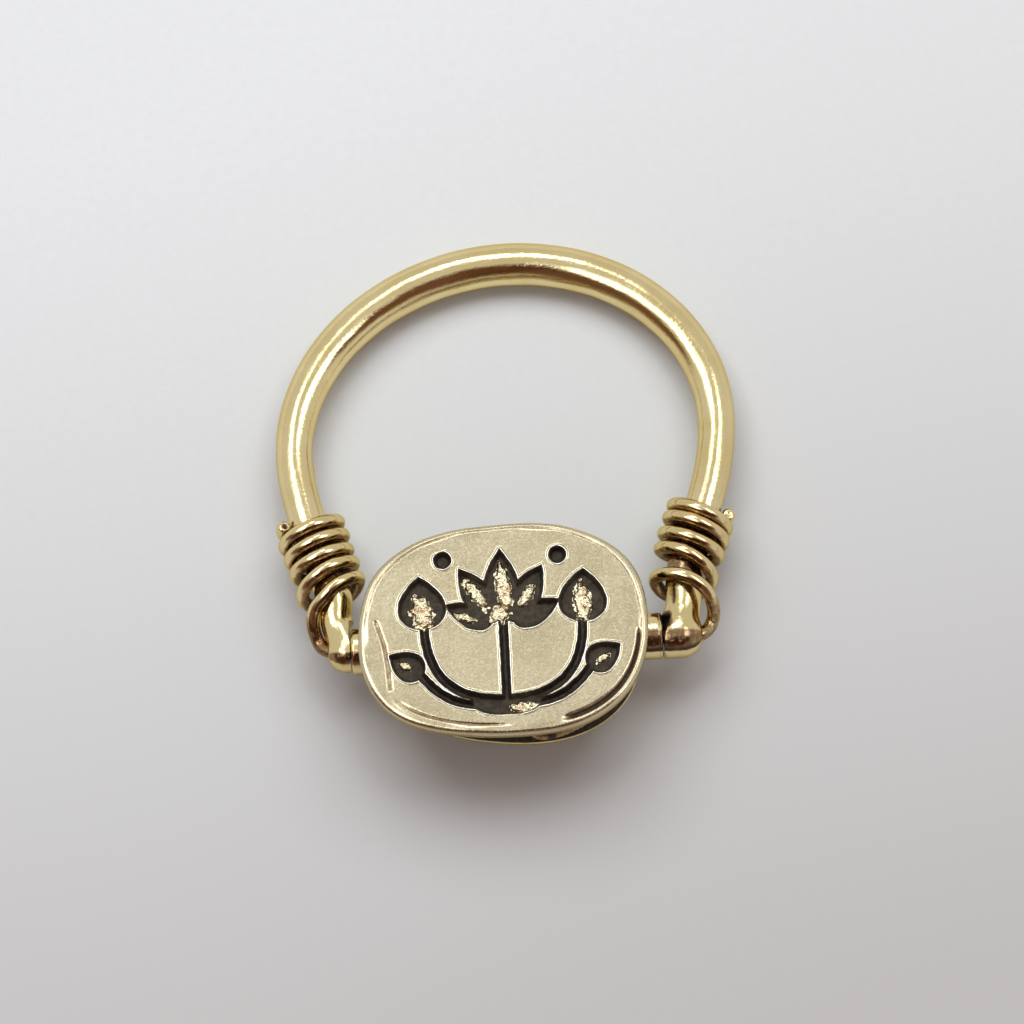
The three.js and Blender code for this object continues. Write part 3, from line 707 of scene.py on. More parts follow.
# The engraving. Places are shares of the seal's half length and half width, a petal's long and wide are
# shares of its half width, leans are in radians, and what isn't called a share below them is in mm.
PETALS = (
    {"at": (0.0, 0.06), "lean": 0.0, "long": 0.68, "wide": 0.15},
    {"at": (0.05, 0.06), "lean": -0.55, "long": 0.6, "wide": 0.13},
    {"at": (-0.05, 0.06), "lean": 0.55, "long": 0.6, "wide": 0.13},
    {"at": (0.08, 0.04), "lean": -1.12, "long": 0.46, "wide": 0.1},
    {"at": (-0.08, 0.04), "lean": 1.12, "long": 0.46, "wide": 0.1},
    {"at": (0.55, 0.02), "lean": -0.06, "long": 0.5, "wide": 0.19},
    {"at": (-0.55, 0.02), "lean": 0.06, "long": 0.5, "wide": 0.19},
    {"at": (0.57, -0.4), "lean": -1.0, "long": 0.36, "wide": 0.12},
    {"at": (-0.57, -0.4), "lean": 1.0, "long": 0.36, "wide": 0.12},
)
STEMS = (
    ((0.0, -0.64), (0.0, -0.3), (0.0, 0.12)),
    ((0.06, -0.66), (0.56, -0.62), (0.55, 0.08)),
    ((-0.06, -0.66), (-0.56, -0.62), (-0.55, 0.08)),
    ((0.16, -0.7), (0.42, -0.72), (0.6, -0.38)),
    ((-0.16, -0.7), (-0.42, -0.72), (-0.6, -0.38)),
)
DISCS = ((0.4, 0.66), (-0.4, 0.66))
DISC_SHARE = 0.08
STEM_WIDTH = 0.42
POOL_SHARE = 0.26
POOL_DROP_SHARE = 0.19
PETAL_BELLY_SHARE = 0.45
PETAL_STEPS = 22
STEM_STEPS = 24
POOL_STEPS = 18
ENGRAVED_DEPTH = 0.4
ENGRAVED_WALL = 0.17
LIP_HEIGHT = 0.03
LIP_WIDTH = 0.045

# Where gold shows again on the floor of the cut: middle X and Y, half length up, half width, lean.
WORN_SPOTS = (
    (0.1, 2.0, 1.2, 0.36, 0.1),
    (-0.15, 0.7, 0.5, 0.4, -0.3),
    (-1.2, 1.75, 0.9, 0.28, 0.6),
    (1.15, 1.55, 0.62, 0.24, -0.6),
    (3.72, 1.1, 1.0, 0.4, 0.05),
    (-3.72, 1.0, 0.85, 0.5, 0.2),
    (-1.75, 0.65, 0.5, 0.18, 1.2),
    (0.8, -3.72, 0.24, 0.75, 0.05),
    (4.5, -1.62, 0.4, 0.18, -1.0),
    (-4.6, -1.5, 0.3, 0.18, 1.0),
)
WORN_HEIGHT = 0.14
SCAR = ((-5.86, 0.56), (-5.55, -0.5), (-5.42, -1.5), (-5.36, -2.6))
SCAR_WIDTH = 0.085
SCAR_DEPTH = 0.07
SCAR_STAIN = 0.4

# Waves of the plate's uneven edge and dents of its rim: height, waves round the plate, phase.
EDGE_WAVES = (
    (0.05, 2.0, -1.2),
    (0.035, 3.0, 1.1),
    (0.02, 5.0, -0.4),
    (0.012, 9.0, 2.0),
)
RIM_DENTS = (
    (0.02, 7.0, 0.5),
    (0.015, 17.0, 0.0),
)

# Flats and bulges of the edge: height, then the arc's middle, half angle and fade in degrees.
EDGE_BULGES = (
    (-0.13, 78.0, 16.0, 32.0),
    (0.09, -158.0, 16.0, 34.0),
    (-0.08, -33.0, 12.0, 26.0),
)

# Cuts of the border line: the arc's middle, half angle and fade in degrees, then the cut itself.
BOLD_CUT = {"arc": (-35.0, 26.0, 7.0), "inset": 0.42, "width": 0.075, "depth": 0.2, "dark": 1.1}
THIN_CUT = {"arc": (-114.0, 16.0, 12.0), "inset": 0.5, "width": 0.05, "depth": 0.07, "dark": 0.5}
HAIR_CUT = {"arc": (80.0, 75.0, 25.0), "inset": 0.3, "width": 0.03, "depth": 0.05, "dark": 0.36}

# Rings of the plate's side and underside: inset, drop from the top, and painted shade, darker to the
# underside.
SIDE_RINGS = (
    (0.0, 0.38, 0.0),
    (0.0, 0.52, 0.05),
    (0.0, 0.66, 0.12),
    (0.03, 0.78, 0.25),
    (0.1, 0.87, 0.6),
    (0.22, 0.95, 1.0),
    (0.6, 0.95, 1.0),
    (1.4, 0.95, 1.0),
)


def petal_outline(petal):
    """Two cubics from the petal's foot round its belly to its tip and back, turned by its lean."""
    length = petal["long"] * SEAL_HALF_WIDTH
    half = petal["wide"] * SEAL_HALF_WIDTH
    up = bezier([(0.0, 0.0), (half, 0.0), (2 * half, length * PETAL_BELLY_SHARE), (0.0, length)], PETAL_STEPS)
    x, y = np.concatenate([up, (up * [-1.0, 1.0])[-2:0:-1]]).T
    cos, sin = math.cos(petal["lean"]), math.sin(petal["lean"])
    turned = np.stack([x * cos - y * sin, x * sin + y * cos], axis=-1)
    return turned + np.array(petal["at"]) * SEAL_HALVES


def pool_outline():
    """A level top with two quadratic corners under it."""
    top, foot = -1.0 + 2 * POOL_DROP_SHARE, -1.0 + POOL_DROP_SHARE
    corners = np.array([(-POOL_SHARE, top), (-POOL_SHARE, foot), (0.0, foot)]) * SEAL_HALVES
    down = quadratic(*corners, POOL_STEPS)
    return np.concatenate([down, (down * [-1.0, 1.0])[-2::-1]])


def edge_distance(x, y, outline, closed=True):
    """Distance to a line of points. For a closed outline it is positive inside, by the crossing rule, and
    negative outside."""
    ends = np.roll(outline, -1, axis=0) if closed else outline[1:]
    starts = outline if closed else outline[:-1]
    nearest = np.full(x.shape, np.inf)
    inside = np.zeros(x.shape, bool)
    for (ax, ay), (bx, by) in zip(starts, ends):
        dx, dy = bx - ax, by - ay
        share = np.clip(((x - ax) * dx + (y - ay) * dy) / (dx * dx + dy * dy), 0.0, 1.0)
        nearest = np.minimum(nearest, (x - ax - share * dx) ** 2 + (y - ay - share * dy) ** 2)
        if closed and ay != by:
            inside ^= ((ay > y) != (by > y)) & (x < ax + (y - ay) * dx / dy)
    distance = np.sqrt(nearest)
    return np.where(inside, distance, -distance) if closed else distance


def engraving(x, y):
    """How far inside the engraved design each point lies: the largest of the distances inside its parts."""
    deepest = edge_distance(x, y, pool_outline())
    for petal in PETALS:
        deepest = np.maximum(deepest, edge_distance(x, y, petal_outline(petal)))
    for stem in STEMS:
        line = quadratic(*(np.array(stem) * SEAL_HALVES), STEM_STEPS)
        deepest = np.maximum(deepest, STEM_WIDTH / 2.0 - edge_distance(x, y, line, closed=False))
    for disc in DISCS:
        dx, dy = x - disc[0] * SEAL_HALF_LENGTH, y - disc[1] * SEAL_HALF_WIDTH
        deepest = np.maximum(deepest, DISC_SHARE * SEAL_HALF_WIDTH - np.hypot(dx, dy))
    return deepest


def worn_spots(x, y):
    """Where the gold shows again on the floor of the cut: above 0 inside uneven ovals."""
    best = np.full(np.shape(x), -1.0)
    for middle_x, middle_y, half_up, half_across, lean in WORN_SPOTS:
        dx, dy = x - middle_x, y - middle_y
        across = dx * math.cos(lean) + dy * math.sin(lean)
        up = dy * math.cos(lean) - dx * math.sin(lean)
        best = np.maximum(best, 1.0 - np.hypot(across / half_across, up / half_up))
    return best + 0.3 * waves(x, y, size=0.5, seed=31) + 0.2 * waves(x, y, size=0.22, seed=32)


def scar_share(x, y):
    """A shallow scratch along a line of points, by a bell curve of the distance to it."""
    return bell(edge_distance(x, y, np.array(SCAR), closed=False), SCAR_WIDTH)


def waved(phi, table):
    """The sum over a table of waves of the height times the cosine of waves round by direction plus phase."""
    total = np.zeros(np.shape(phi))
    for height, waves_round, phase in table:
        total = total + height * np.cos(waves_round * phi + phase)
    return total


def hand_cut(phi):
    """How far the plate's edge stands proud of a true oval, as a filed edge does: slow waves, and flats and
    bulges over parts of it."""
    proud = waved(phi, EDGE_WAVES)
    for height, middle, half, fade in EDGE_BULGES:
        proud = proud + height * around(phi, middle, half, fade)
    return proud


def border_line(phi, inset):
    """The depth of the cut line inside the rim, and its blackening. It is bold and black at the lower right,
    thin and brown at the lower left, a hair at the top, and gone in between."""
    bold_inset = BOLD_CUT["inset"] + 0.06 * smooth(-np.degrees(phi) / 60.0)
    bold_width = BOLD_CUT["width"] + 0.045 * around(phi, middle=-50.0, half=12.0, fade=30.0)
    hair_inset = HAIR_CUT["inset"] + 0.04 * np.sin(3.0 * phi)
    depth = np.zeros(np.shape(phi))
    dark = np.zeros(np.shape(phi))
    for cut, at, width in (
        (BOLD_CUT, bold_inset, bold_width),
        (THIN_CUT, THIN_CUT["inset"], THIN_CUT["width"]),
        (HAIR_CUT, hair_inset, HAIR_CUT["width"]),
    ):
        share = around(phi, *cut["arc"]) * bell(inset - at, width)
        depth = depth + cut["depth"] * share
        dark = dark + cut["dark"] * share
    return depth, dark


def make_seal(material):
    """The engraved field is a pressed square, and rings of the same oval carry it over the border line, the
    rounded rim and the side to the underside. Depth inside the design rises over a wall of fixed width, with
    a rough floor that is left high in patches, and a thin raised lip round it."""
    share, phi, edge = pressed_square(SEAL_ROWS, SEAL_COLUMNS)
    x, y = oval(phi, SEAL_HALF_LENGTH, SEAL_HALF_WIDTH, SEAL_SQUARENESS, FIELD_INSET)
    x, y = x * share, y * share
    unsteady = 0.022 * waves(x, y, size=0.7, seed=3) + 0.01 * waves(x, y, size=0.25, seed=4)
    inside = engraving(x, y) + unsteady
    worn = np.minimum(worn_spots(x, y), (inside - 0.1) * 6.0)
    rough = waves(x, y, size=0.26, seed=5) + 0.8 * waves(x, y, size=0.13, seed=7)
    left_high = above(worn, start=0.0, fade=0.3) * (WORN_HEIGHT + 0.04 * rough)
    depth = smooth(inside / ENGRAVED_WALL) * (ENGRAVED_DEPTH - left_high - 0.015 * rough)
    lip = LIP_HEIGHT * bell(inside + LIP_WIDTH, LIP_WIDTH)
    swell = 0.014 * waves(x, y, size=3.4, seed=11)
    scar = scar_share(x, y)
    z = SEAL_TOP - depth + lip + swell - SCAR_DEPTH * scar
    shell = Shell()
    shell.grid(np.stack([x, y + SEAL_OFFSET_Y, z], axis=-1), patina=SCAR_STAIN * scar, cut=inside, worn=worn)

    ring_phi = phi.ravel()[edge]
    swell_edge = swell.ravel()[edge]
    proud = hand_cut(ring_phi)
    dents = waved(ring_phi, RIM_DENTS)
    rim_turn = np.linspace(0.0, math.pi / 2.0, RIM_STEPS)[1:]
    rings = [(inset, 0.0, 0.0) for inset in np.linspace(FIELD_INSET, RIM_ROUND, FIELD_STEPS)[1:]]
    rings += [
        (RIM_ROUND * (1.0 - math.sin(turn)), RIM_ROUND * (1.0 - math.cos(turn)), 0.0)
        for turn in rim_turn
    ]
    rings += list(SIDE_RINGS)
    last = edge
    for inset, drop, dark in rings:
        grown = proud * smooth((FIELD_INSET - inset) / FIELD_INSET)
        x, y = oval(ring_phi, SEAL_HALF_LENGTH + grown, SEAL_HALF_WIDTH + grown, SEAL_SQUARENESS, inset)
        cut, mark = border_line(ring_phi, inset)
        scar = scar_share(x, y)
        z = SEAL_TOP - drop - cut + swell_edge * above(inset, start=0.3, fade=0.4)
        z = z + dents * below(inset, end=0.45, fade=0.2) * (drop < 0.3) - SCAR_DEPTH * scar
        # The side rings' painted shade joins the border line's blackening and the scratch's brown.
        mark = np.clip(mark + dark + SCAR_STAIN * scar, 0.0, 1.0)
        away = np.full(len(x), -1.0)
        points = np.stack([x, y + SEAL_OFFSET_Y, z], axis=-1)
        last = shell.ring(last, points, patina=mark, cut=away, worn=away)
    # The underside's middle is painted black as shade.
    shell.close(last, [0.0, SEAL_OFFSET_Y, SEAL_UNDERSIDE], patina=[1.0], cut=[-1.0], worn=[-1.0])
    return shell.piece("seal_plate_engraved", "scarab", "seal_gold", ["seal_plate"], material, on_scarab)


# The beetle: lines and legs as shares of its half length, head at -X, and its half width.
HEAD_LINE = -0.58
HEAD_BULGE = 0.3
HEAD_HALF = 0.52
THORAX_LINE = -0.22
RIDGE_PITCH = 0.105
EYE = (-0.79, 0.3)
EYE_SIZE = 0.1
NOTCH_PITCH = 0.085
LEGS = (
    ((-0.42, 0.6), (-0.66, 0.66), (-0.9, 0.3)),
    ((-0.12, 0.66), (-0.3, 0.9), (-0.56, 0.82)),
    ((0.24, 0.68), (0.3, 0.93), (0.62, 0.76)),
)
LEG_RADIUS = 0.31
LEG_STEPS = 60
LEG_SIDES = 28
LEG_KNEE = 0.52
LEG_KNEE_WIDTH = 0.05
LEG_RIBS_FROM = 0.56
LEG_RIB_PACE = 46.0
LEG_END_ROUND = 0.04

# Rings of the body over its dome: inset, height, painted shade, black in the gap under the plate.
BODY_RINGS = (
    (0.1, RIM_FOOT + 0.02, 0.3),
    (0.02, RIM_FOOT + 0.05, 0.0),
    (0.0, RIM_FOOT + 0.1, 0.0),
    (0.0, 0.47, 0.0),
    (0.01, 0.51, 0.0),
    (0.03, 0.54, 0.1),
    (0.06, 0.56, 1.0),
    (0.2, 0.66, 1.0),
    (0.4, RIM_TOP, 1.0),
    (1.05, RIM_TOP + 0.03, 1.0),
    (NECK_INSET, 0.9, 1.0),
    (NECK_INSET, 1.3, 1.0),
    (NECK_INSET, NECK_TOP, 1.0),
)


def groove(distance, width, depth):
    """A round-bottomed groove along a middle line, as a height below 0."""
    return -depth * bell(distance, width)


def wing_relief(along, across, thorax_line):
    """The line behind the thorax and, beyond it, the seam, fine ridges on the wing cases, a nick in each and
    a line round the edge."""
    side = np.abs(across)
    from_line = along - thorax_line
    ridges = np.cos(side * FULL_TURN / RIDGE_PITCH)
    ridges = ridges * above(side, start=0.09, fade=0.05) * below(side, end=0.86, fade=0.08)
    relief = groove(across, width=0.02, depth=0.2) + groove(side - 0.055, width=0.012, depth=0.05)
    relief = relief + 0.022 * ridges * below(along, end=0.9, fade=0.1)
    relief = relief + groove(np.hypot(along, across * 1.02) - 0.93, width=0.015, depth=0.05)
    past_line = along - THORAX_LINE - 0.08
    nick = groove(np.hypot(past_line + side - 0.47, past_line * 0.2), width=0.04, depth=0.12)
    nick = nick * below(np.abs(along + 0.12), end=0.2, fade=0.1)
    behind = groove(from_line, width=0.022, depth=0.22) + groove(from_line - 0.055, width=0.012, depth=0.06)
    return relief * above(from_line, start=0.0, fade=0.03) + nick + behind


def head_relief(along, across, head_line):
    """In front of the thorax: the line round the head, the eyes, and the notched plate at the very front."""
    side = np.abs(across)
    relief = groove(along - head_line, width=0.022, depth=0.2) * below(side, end=0.6, fade=0.06)
    eye = np.hypot((along - EYE[0]) * 1.3, side - EYE[1])
    bulge = 0.14 * np.sqrt(np.clip(1.0 - (eye / EYE_SIZE) ** 2, 0.0, 1.0))
    plate_line = groove(along + 0.895, width=0.014, depth=0.1) * below(side, end=0.4, fade=0.05)
    on_head = bulge + groove(eye - 0.115, width=0.018, depth=0.08) + plate_line
    notch = np.abs((side / NOTCH_PITCH) % 1.0 - 0.5) * 2.0
    notches = below(notch, end=0.26, fade=0.2) * below(side, end=0.34, fade=0.04)
    notches = notches * below(along, end=-0.9, fade=0.03)
    return relief + on_head * below(along, head_line, fade=0.03) - 0.14 * notches


def back_relief(along, across):
    """What the beetle's back has in or on its dome, in mm outwards. The head's line and the thorax's are
    parabolas across the back."""
    head_line = HEAD_LINE - HEAD_BULGE * (across / HEAD_HALF) ** 2
    thorax_line = THORAX_LINE - 0.1 * (across / 0.93) ** 2
    return head_relief(along, across, head_line) + wing_relief(along, across, thorax_line)


def under_plate(points):
    """The beetle sits a few degrees askew under the plate, and its ends are trimmed square to the pivot."""
    cos, sin = math.cos(BEETLE_ASKEW), math.sin(BEETLE_ASKEW)
    x = points[..., 0] * cos - points[..., 1] * sin
    y = points[..., 0] * sin + points[..., 1] * cos
    x = np.clip(x, -BODY_END_X, BODY_END_X)
    return np.stack([x, y + BODY_OFFSET_Y, points[..., 2]], axis=-1)


def add_leg(shell, leg, sign):
    """A round bar bent through three points under the plate, thinner at the knee and towards the foot, with
    ribs beyond the knee and rounded ends."""
    height = NECK_TOP - LEG_RADIUS
    a, b, c = (
        np.array([along * BODY_HALF_LENGTH, sign * out * BODY_HALF_WIDTH, height])
        for along, out in leg
    )
    path = evenly(quadratic(a, 2.0 * b - (a + c) / 2.0, c, LEG_STEPS), LEG_STEPS)
    path[:, 0] = np.clip(path[:, 0], -BODY_END_X + LEG_RADIUS, BODY_END_X - LEG_RADIUS)
    s = np.linspace(0.0, 1.0, LEG_STEPS)
    knee = bell(s - LEG_KNEE, LEG_KNEE_WIDTH)
    past_end = np.clip(np.maximum(LEG_END_ROUND - s, s - 1.0 + LEG_END_ROUND) / LEG_END_ROUND, 0.0, 1.0)
    ribs = 1.0 - 0.1 * np.cos(s * LEG_RIB_PACE) ** 8 * (s > LEG_RIBS_FROM)
    radius = LEG_RADIUS * (1.0 - 0.12 * knee - 0.1 * s) * np.sqrt(1.0 - past_end ** 2) * ribs
    radius = np.maximum(radius, 0.01)
    turn = np.linspace(0.0, FULL_TURN, LEG_SIDES, endpoint=False)
    offset = round_offsets(*carried_frames(path), turn)
    bar = under_plate(path[:, None] + offset * radius[:, None, None])
    ends = under_plate(path)
    dark = np.broadcast_to((0.35 + 0.6 * knee)[:, None], bar.shape[:2])
    index = shell.grid(bar, around=True, patina=dark)
    shell.close(index[0][::-1], ends[0], patina=[1.0])
    shell.close(index[-1], ends[-1], patina=[0.5])


def make_beetle(material):
    """The dome's depth is D·(1 - s^n)^(1/n), for the share s of the way out to the oval, with the relief
    added along it. Rings of the oval carry the flange and the rim up to the neck, and six bent bars are the
    legs."""
    share, phi, edge = pressed_square(BODY_ROWS, BODY_COLUMNS)
    out = np.sin(share * math.pi / 2.0)
    x, y = oval(phi, BODY_HALF_LENGTH, BODY_HALF_WIDTH, BODY_SQUARENESS, FLANGE)
    x, y = x * out, y * out
    level = (1.0 - np.minimum(out, 1.0) ** DOME_SQUARENESS) ** (1.0 / DOME_SQUARENESS)
    z = RIM_FOOT - (BACK_DEPTH + RIM_FOOT) * level
    relief = back_relief(x / BODY_HALF_LENGTH, y / BODY_HALF_WIDTH) + 0.012 * waves(x, y, size=0.9, seed=21)
    relief = relief * below(share, end=1.0, fade=0.06)
    dome = np.stack([x, y, z], axis=-1)
    normal = unit(np.cross(np.gradient(dome, axis=1), np.gradient(dome, axis=0)) + [0.0, 0.0, TINY])
    normal = np.where(normal[..., 2:] > 0.0, -normal, normal)
    shell = Shell()
    shell.grid(under_plate(dome + normal * relief[..., None]), patina=np.clip(-relief * 7.0, 0.0, 1.0))

    ring_phi = phi.ravel()[edge]
    last = edge
    # Painted shade: a little at the rim's foot, and black from under the rim to the neck in the gap under the
    # plate.
    for inset, height, mark in BODY_RINGS:
        x, y = oval(ring_phi, BODY_HALF_LENGTH, BODY_HALF_WIDTH, BODY_SQUARENESS, inset)
        points = under_plate(np.stack([x, y, np.full(len(x), height)], axis=-1))
        last = shell.ring(last, points, patina=np.full(len(x), mark))
    shell.close(last, [0.0, 0.0, NECK_TOP], patina=[1.0])
    for leg in LEGS:
        for sign in (1.0, -1.0):
            add_leg(shell, leg, sign)
    return shell.piece("beetle_carved", "scarab", "worn_gold", ["beetle_back"], material, on_scarab)


# Finishes. Scratch cells are counted in a millimetre of the stored grain, or in a metre of the object.

STREAKS_ON_GRAIN = (9.0, 9.0, 1.1)
STREAKS_IN_PLACE = (6200.0, 7400.0, 6200.0)
# Brown and black for the marks: real oxide and stained gold, and also painted shade and painted reflections.
BROWN_STAIN_AND_PAINTED_SHADE_TONE = (0.19, 0.082, 0.042, 1.0)
SOOT_AND_PAINTED_SHADE_TONE = (0.026, 0.022, 0.018, 1.0)
DUSTY_SOOT_AND_PAINTED_SHADE_TONE = (0.055, 0.045, 0.034, 1.0)
BURR_PAINTED_HIGHLIGHT_TONE = (0.96, 0.92, 0.80, 1.0)
WORN_TONE = (0.66, 0.49, 0.29, 1.0)
WORN_BRIGHT_TONE = (0.92, 0.83, 0.56, 1.0)
EDGE_TINT = (0.78, 0.70, 0.46, 1.0)


class Nodes:
    """The nodes of a material or of the world, added one by one and joined by name."""

    def __init__(self, owner, output):
        owner.use_nodes = True
        self.owner = owner
        self.tree = owner.node_tree
        self.tree.nodes.clear()
        self.output = self.node(output)

    def node(self, kind, inputs=None, **settings):
        """A node of a kind. Each input is another node's socket, which is joined, or a plain value."""
        node = self.tree.nodes.new("ShaderNode" + kind)
        for key, value in settings.items():
            setattr(node, key, value)
        for key, value in (inputs or {}).items():
            if isinstance(value, bpy.types.NodeSocket):
                self.tree.links.new(value, node.inputs[key])
            else:
                node.inputs[key].default_value = value
        return node

    def math(self, operation, a, b=0.0, held=False):
        """A sum on two values, held between 0 and 1 where asked."""
        return self.node("Math", {0: a, 1: b}, operation=operation, use_clamp=held).outputs[0]

    def mix(self, share, a, b):
        """From one colour to another by a share."""
        return self.node("Mix", {0: share, 6: a, 7: b}, data_type="RGBA").outputs[2]

    def blend(self, share, a, b):
        """From one value to another by a share."""
        return self.node("Mix", {0: share, 2: a, 3: b}, data_type="FLOAT").outputs[0]

    def raised(self, height, pattern, by):
        """A height with a pattern added to it, scaled."""
        return self.math("ADD", height, self.math("MULTIPLY", pattern, by))

    def noise(self, where, scale, detail=3.0, roughness=0.5):
        """Noise with a scale in cells a unit of the place it reads."""
        inputs = {"Vector": where, "Scale": scale, "Detail": detail, "Roughness": roughness}
        return self.node("TexNoise", inputs).outputs["Fac"]

    def ramp(self, value, low, high):
        """0 below low, 1 above high, smooth between."""
        inputs = {"Value": value, "From Min": low, "From Max": high}
        return self.node("MapRange", inputs, interpolation_type="SMOOTHSTEP").outputs["Result"]

    def stretched(self, where, scale):
        """A place scaled along each of its axes."""
        return self.node("Mapping", {"Vector": where, "Scale": scale}).outputs["Vector"]

    def mark(self, name):
        """A value or vector stored on the mesh."""
        return self.node("Attribute", attribute_name=name).outputs

    def ends_in(self, shader):
        """Joins the last shader to the output and returns the material or the world."""
        self.tree.links.new(shader.outputs[0], self.output.inputs["Surface"])
        return self.owner


def engraved_look(finish, here, crumble, tone, rough, height, mark):
    """Adds what an engraved piece has to its tone, roughness, height and blackening: black from the edge of
    the cut inwards, a thin raised lip round it, smoother and painted near white as a highlight, and bare worn
    spots on its floor."""
    worn = finish.mark("worn")["Fac"]
    ragged = finish.raised(finish.mark("cut")["Fac"], crumble, 0.05)
    past_edge = finish.ramp(ragged, 0.0, 0.035)
    burr_and_painted_highlight = finish.math("SUBTRACT", finish.ramp(ragged, -0.075, -0.03), past_edge, held=True)
    # Near-white tone here is a painted highlight on the lip.
    tone = finish.mix(burr_and_painted_highlight, tone, BURR_PAINTED_HIGHLIGHT_TONE)
    rough = finish.blend(burr_and_painted_highlight, rough, 0.16)
    height = finish.raised(height, burr_and_painted_highlight, 0.022)
    flake = finish.noise(here, 2600.0, 4.0, 0.7)
    bare = finish.ramp(finish.raised(worn, flake, 0.8), 0.32, 0.38)
    tone = finish.mix(bare, tone, finish.mix(finish.ramp(flake, 0.38, 0.54), WORN_TONE, WORN_BRIGHT_TONE))
    height = finish.raised(height, finish.math("MULTIPLY", bare, flake), 0.1)
    floor = finish.math("MULTIPLY", finish.ramp(ragged, 0.015, 0.05), 1.4)
    floor = finish.math("MULTIPLY", floor, finish.math("SUBTRACT", 1.0, bare))
    return tone, rough, height, finish.math("MAXIMUM", mark, floor)


def gold(name, tone, deep_tone, polish, scratch, grit, dent, dent_size, grained=False, engraved=False):
    """Pale gold. Broad dents, scratches and fine grit come from noise by bump, in mm, and the tone drifts a
    little. Polish is the roughness off the scratches and on them. Where the piece is marked the gold is
    stained brown and then covered by a rough blackening, both broken up by noise. The marks are real oxide
    and stained gold in some places and painted shade and painted reflections in others."""
    finish = Nodes(bpy.data.materials.new(name), "OutputMaterial")
    here = finish.node("TexCoord").outputs["Object"]
    if grained:
        streak_place = finish.stretched(finish.mark("grain")["Vector"], STREAKS_ON_GRAIN)
    else:
        streak_place = finish.stretched(here, STREAKS_IN_PLACE)
    tone_now = finish.mix(finish.ramp(finish.noise(here, 420.0), 0.35, 0.65), tone, deep_tone)
    streaks = finish.noise(streak_place, 1.0, 5.0, 0.65)
    rough = finish.blend(finish.ramp(streaks, 0.42, 0.7), polish[0], polish[1])
    height = finish.math("MULTIPLY", finish.noise(here, 1.0 / dent_size, 2.0, 0.4), dent)
    height = finish.raised(height, streaks, scratch)
    height = finish.raised(height, finish.noise(here, 8000.0, 2.0, 0.6), grit)
    crumble = finish.noise(here, 3400.0, 4.0, 0.65)
    mark = finish.mark("patina")["Fac"]
    if engraved:
        tone_now, rough, height, mark = engraved_look(finish, here, crumble, tone_now, rough, height, mark)
    # The mark is real oxide and stains in some places and painted shade and reflections in others.
    cover = finish.raised(mark, crumble, 0.7)
    stain_and_painted_shade = finish.math("MULTIPLY", finish.ramp(cover, 0.42, 0.8), 0.83)
    tone_now = finish.mix(stain_and_painted_shade, tone_now, BROWN_STAIN_AND_PAINTED_SHADE_TONE)
    cover = finish.ramp(cover, 0.78, 1.04)
    soot_and_painted_shade = finish.mix(finish.ramp(crumble, 0.4, 0.62), SOOT_AND_PAINTED_SHADE_TONE, DUSTY_SOOT_AND_PAINTED_SHADE_TONE)
    tone_now = finish.mix(cover, tone_now, soot_and_painted_shade)
    rough = finish.blend(cover, rough, 0.55)
    metal = finish.math("SUBTRACT", 1.0, finish.math("MULTIPLY", cover, 0.85))
    height = finish.raised(height, finish.math("MULTIPLY", crumble, cover), 0.03)
    bump = finish.node("Bump", {"Strength": 1.0, "Distance": MM, "Height": height})
    return finish.ends_in(finish.node("BsdfPrincipled", {
        "Base Color": tone_now, "Roughness": rough, "Metallic": metal,
        "Normal": bump.outputs["Normal"], "Specular Tint": EDGE_TINT,
    }))


polished_gold = gold(
    "polished_gold_finish", (0.87, 0.715, 0.39, 1.0), (0.81, 0.65, 0.32, 1.0), polish=(0.1, 0.2),
    scratch=0.0035, grit=0.008, dent=0.022, dent_size=1.5 * MM, grained=True)
wire_gold = gold(
    "wire_gold_finish", (0.86, 0.70, 0.38, 1.0), (0.79, 0.61, 0.30, 1.0), polish=(0.1, 0.22),
    scratch=0.003, grit=0.005, dent=0.012, dent_size=0.8 * MM, grained=True)
seal_gold = gold(
    "seal_gold_finish", (0.715, 0.62, 0.41, 1.0), (0.65, 0.555, 0.355, 1.0), polish=(0.22, 0.32),
    scratch=0.004, grit=0.0035, dent=0.014, dent_size=1.0 * MM, engraved=True)
worn_gold = gold(
    "worn_gold_finish", (0.78, 0.65, 0.36, 1.0), (0.62, 0.49, 0.25, 1.0), polish=(0.26, 0.45),
    scratch=0.006, grit=0.004, dent=0.02, dent_size=0.9 * MM)

make_hoop(polished_gold)
make_wire(wire_gold)
collar_out = FACE_X - SEAT_GAP
collar_in = BODY_END_X + SEAT_GAP
make_collar("left_collar_sleeve", "left_collar", -collar_out, SCARAB_OFFSET_X - collar_in, polished_gold)
make_collar("right_collar_sleeve", "right_collar", SCARAB_OFFSET_X + collar_in, collar_out, polished_gold)
make_seal(seal_gold)
make_beetle(worn_gold)
tube = frame["nodes"]["bearing_tube"]
tube.data.materials.clear()
tube.data.materials.append(worn_gold)


# The table, the light and the camera.

TABLE_REACH = 900.0
TABLE_PAINTED_SHADE_TONE = (0.54, 0.572, 0.572, 1.0)
TABLE_PAINTED_LIGHT_TONE = (0.762, 0.832, 0.855, 1.0)
TABLE_SPECK_TONE = (0.62, 0.61, 0.60, 1.0)

ROOM_TONE = (0.66, 0.66, 0.655, 1.0)
PLAIN_LIGHT = (0.36, 0.278, 0.272, 1.0)

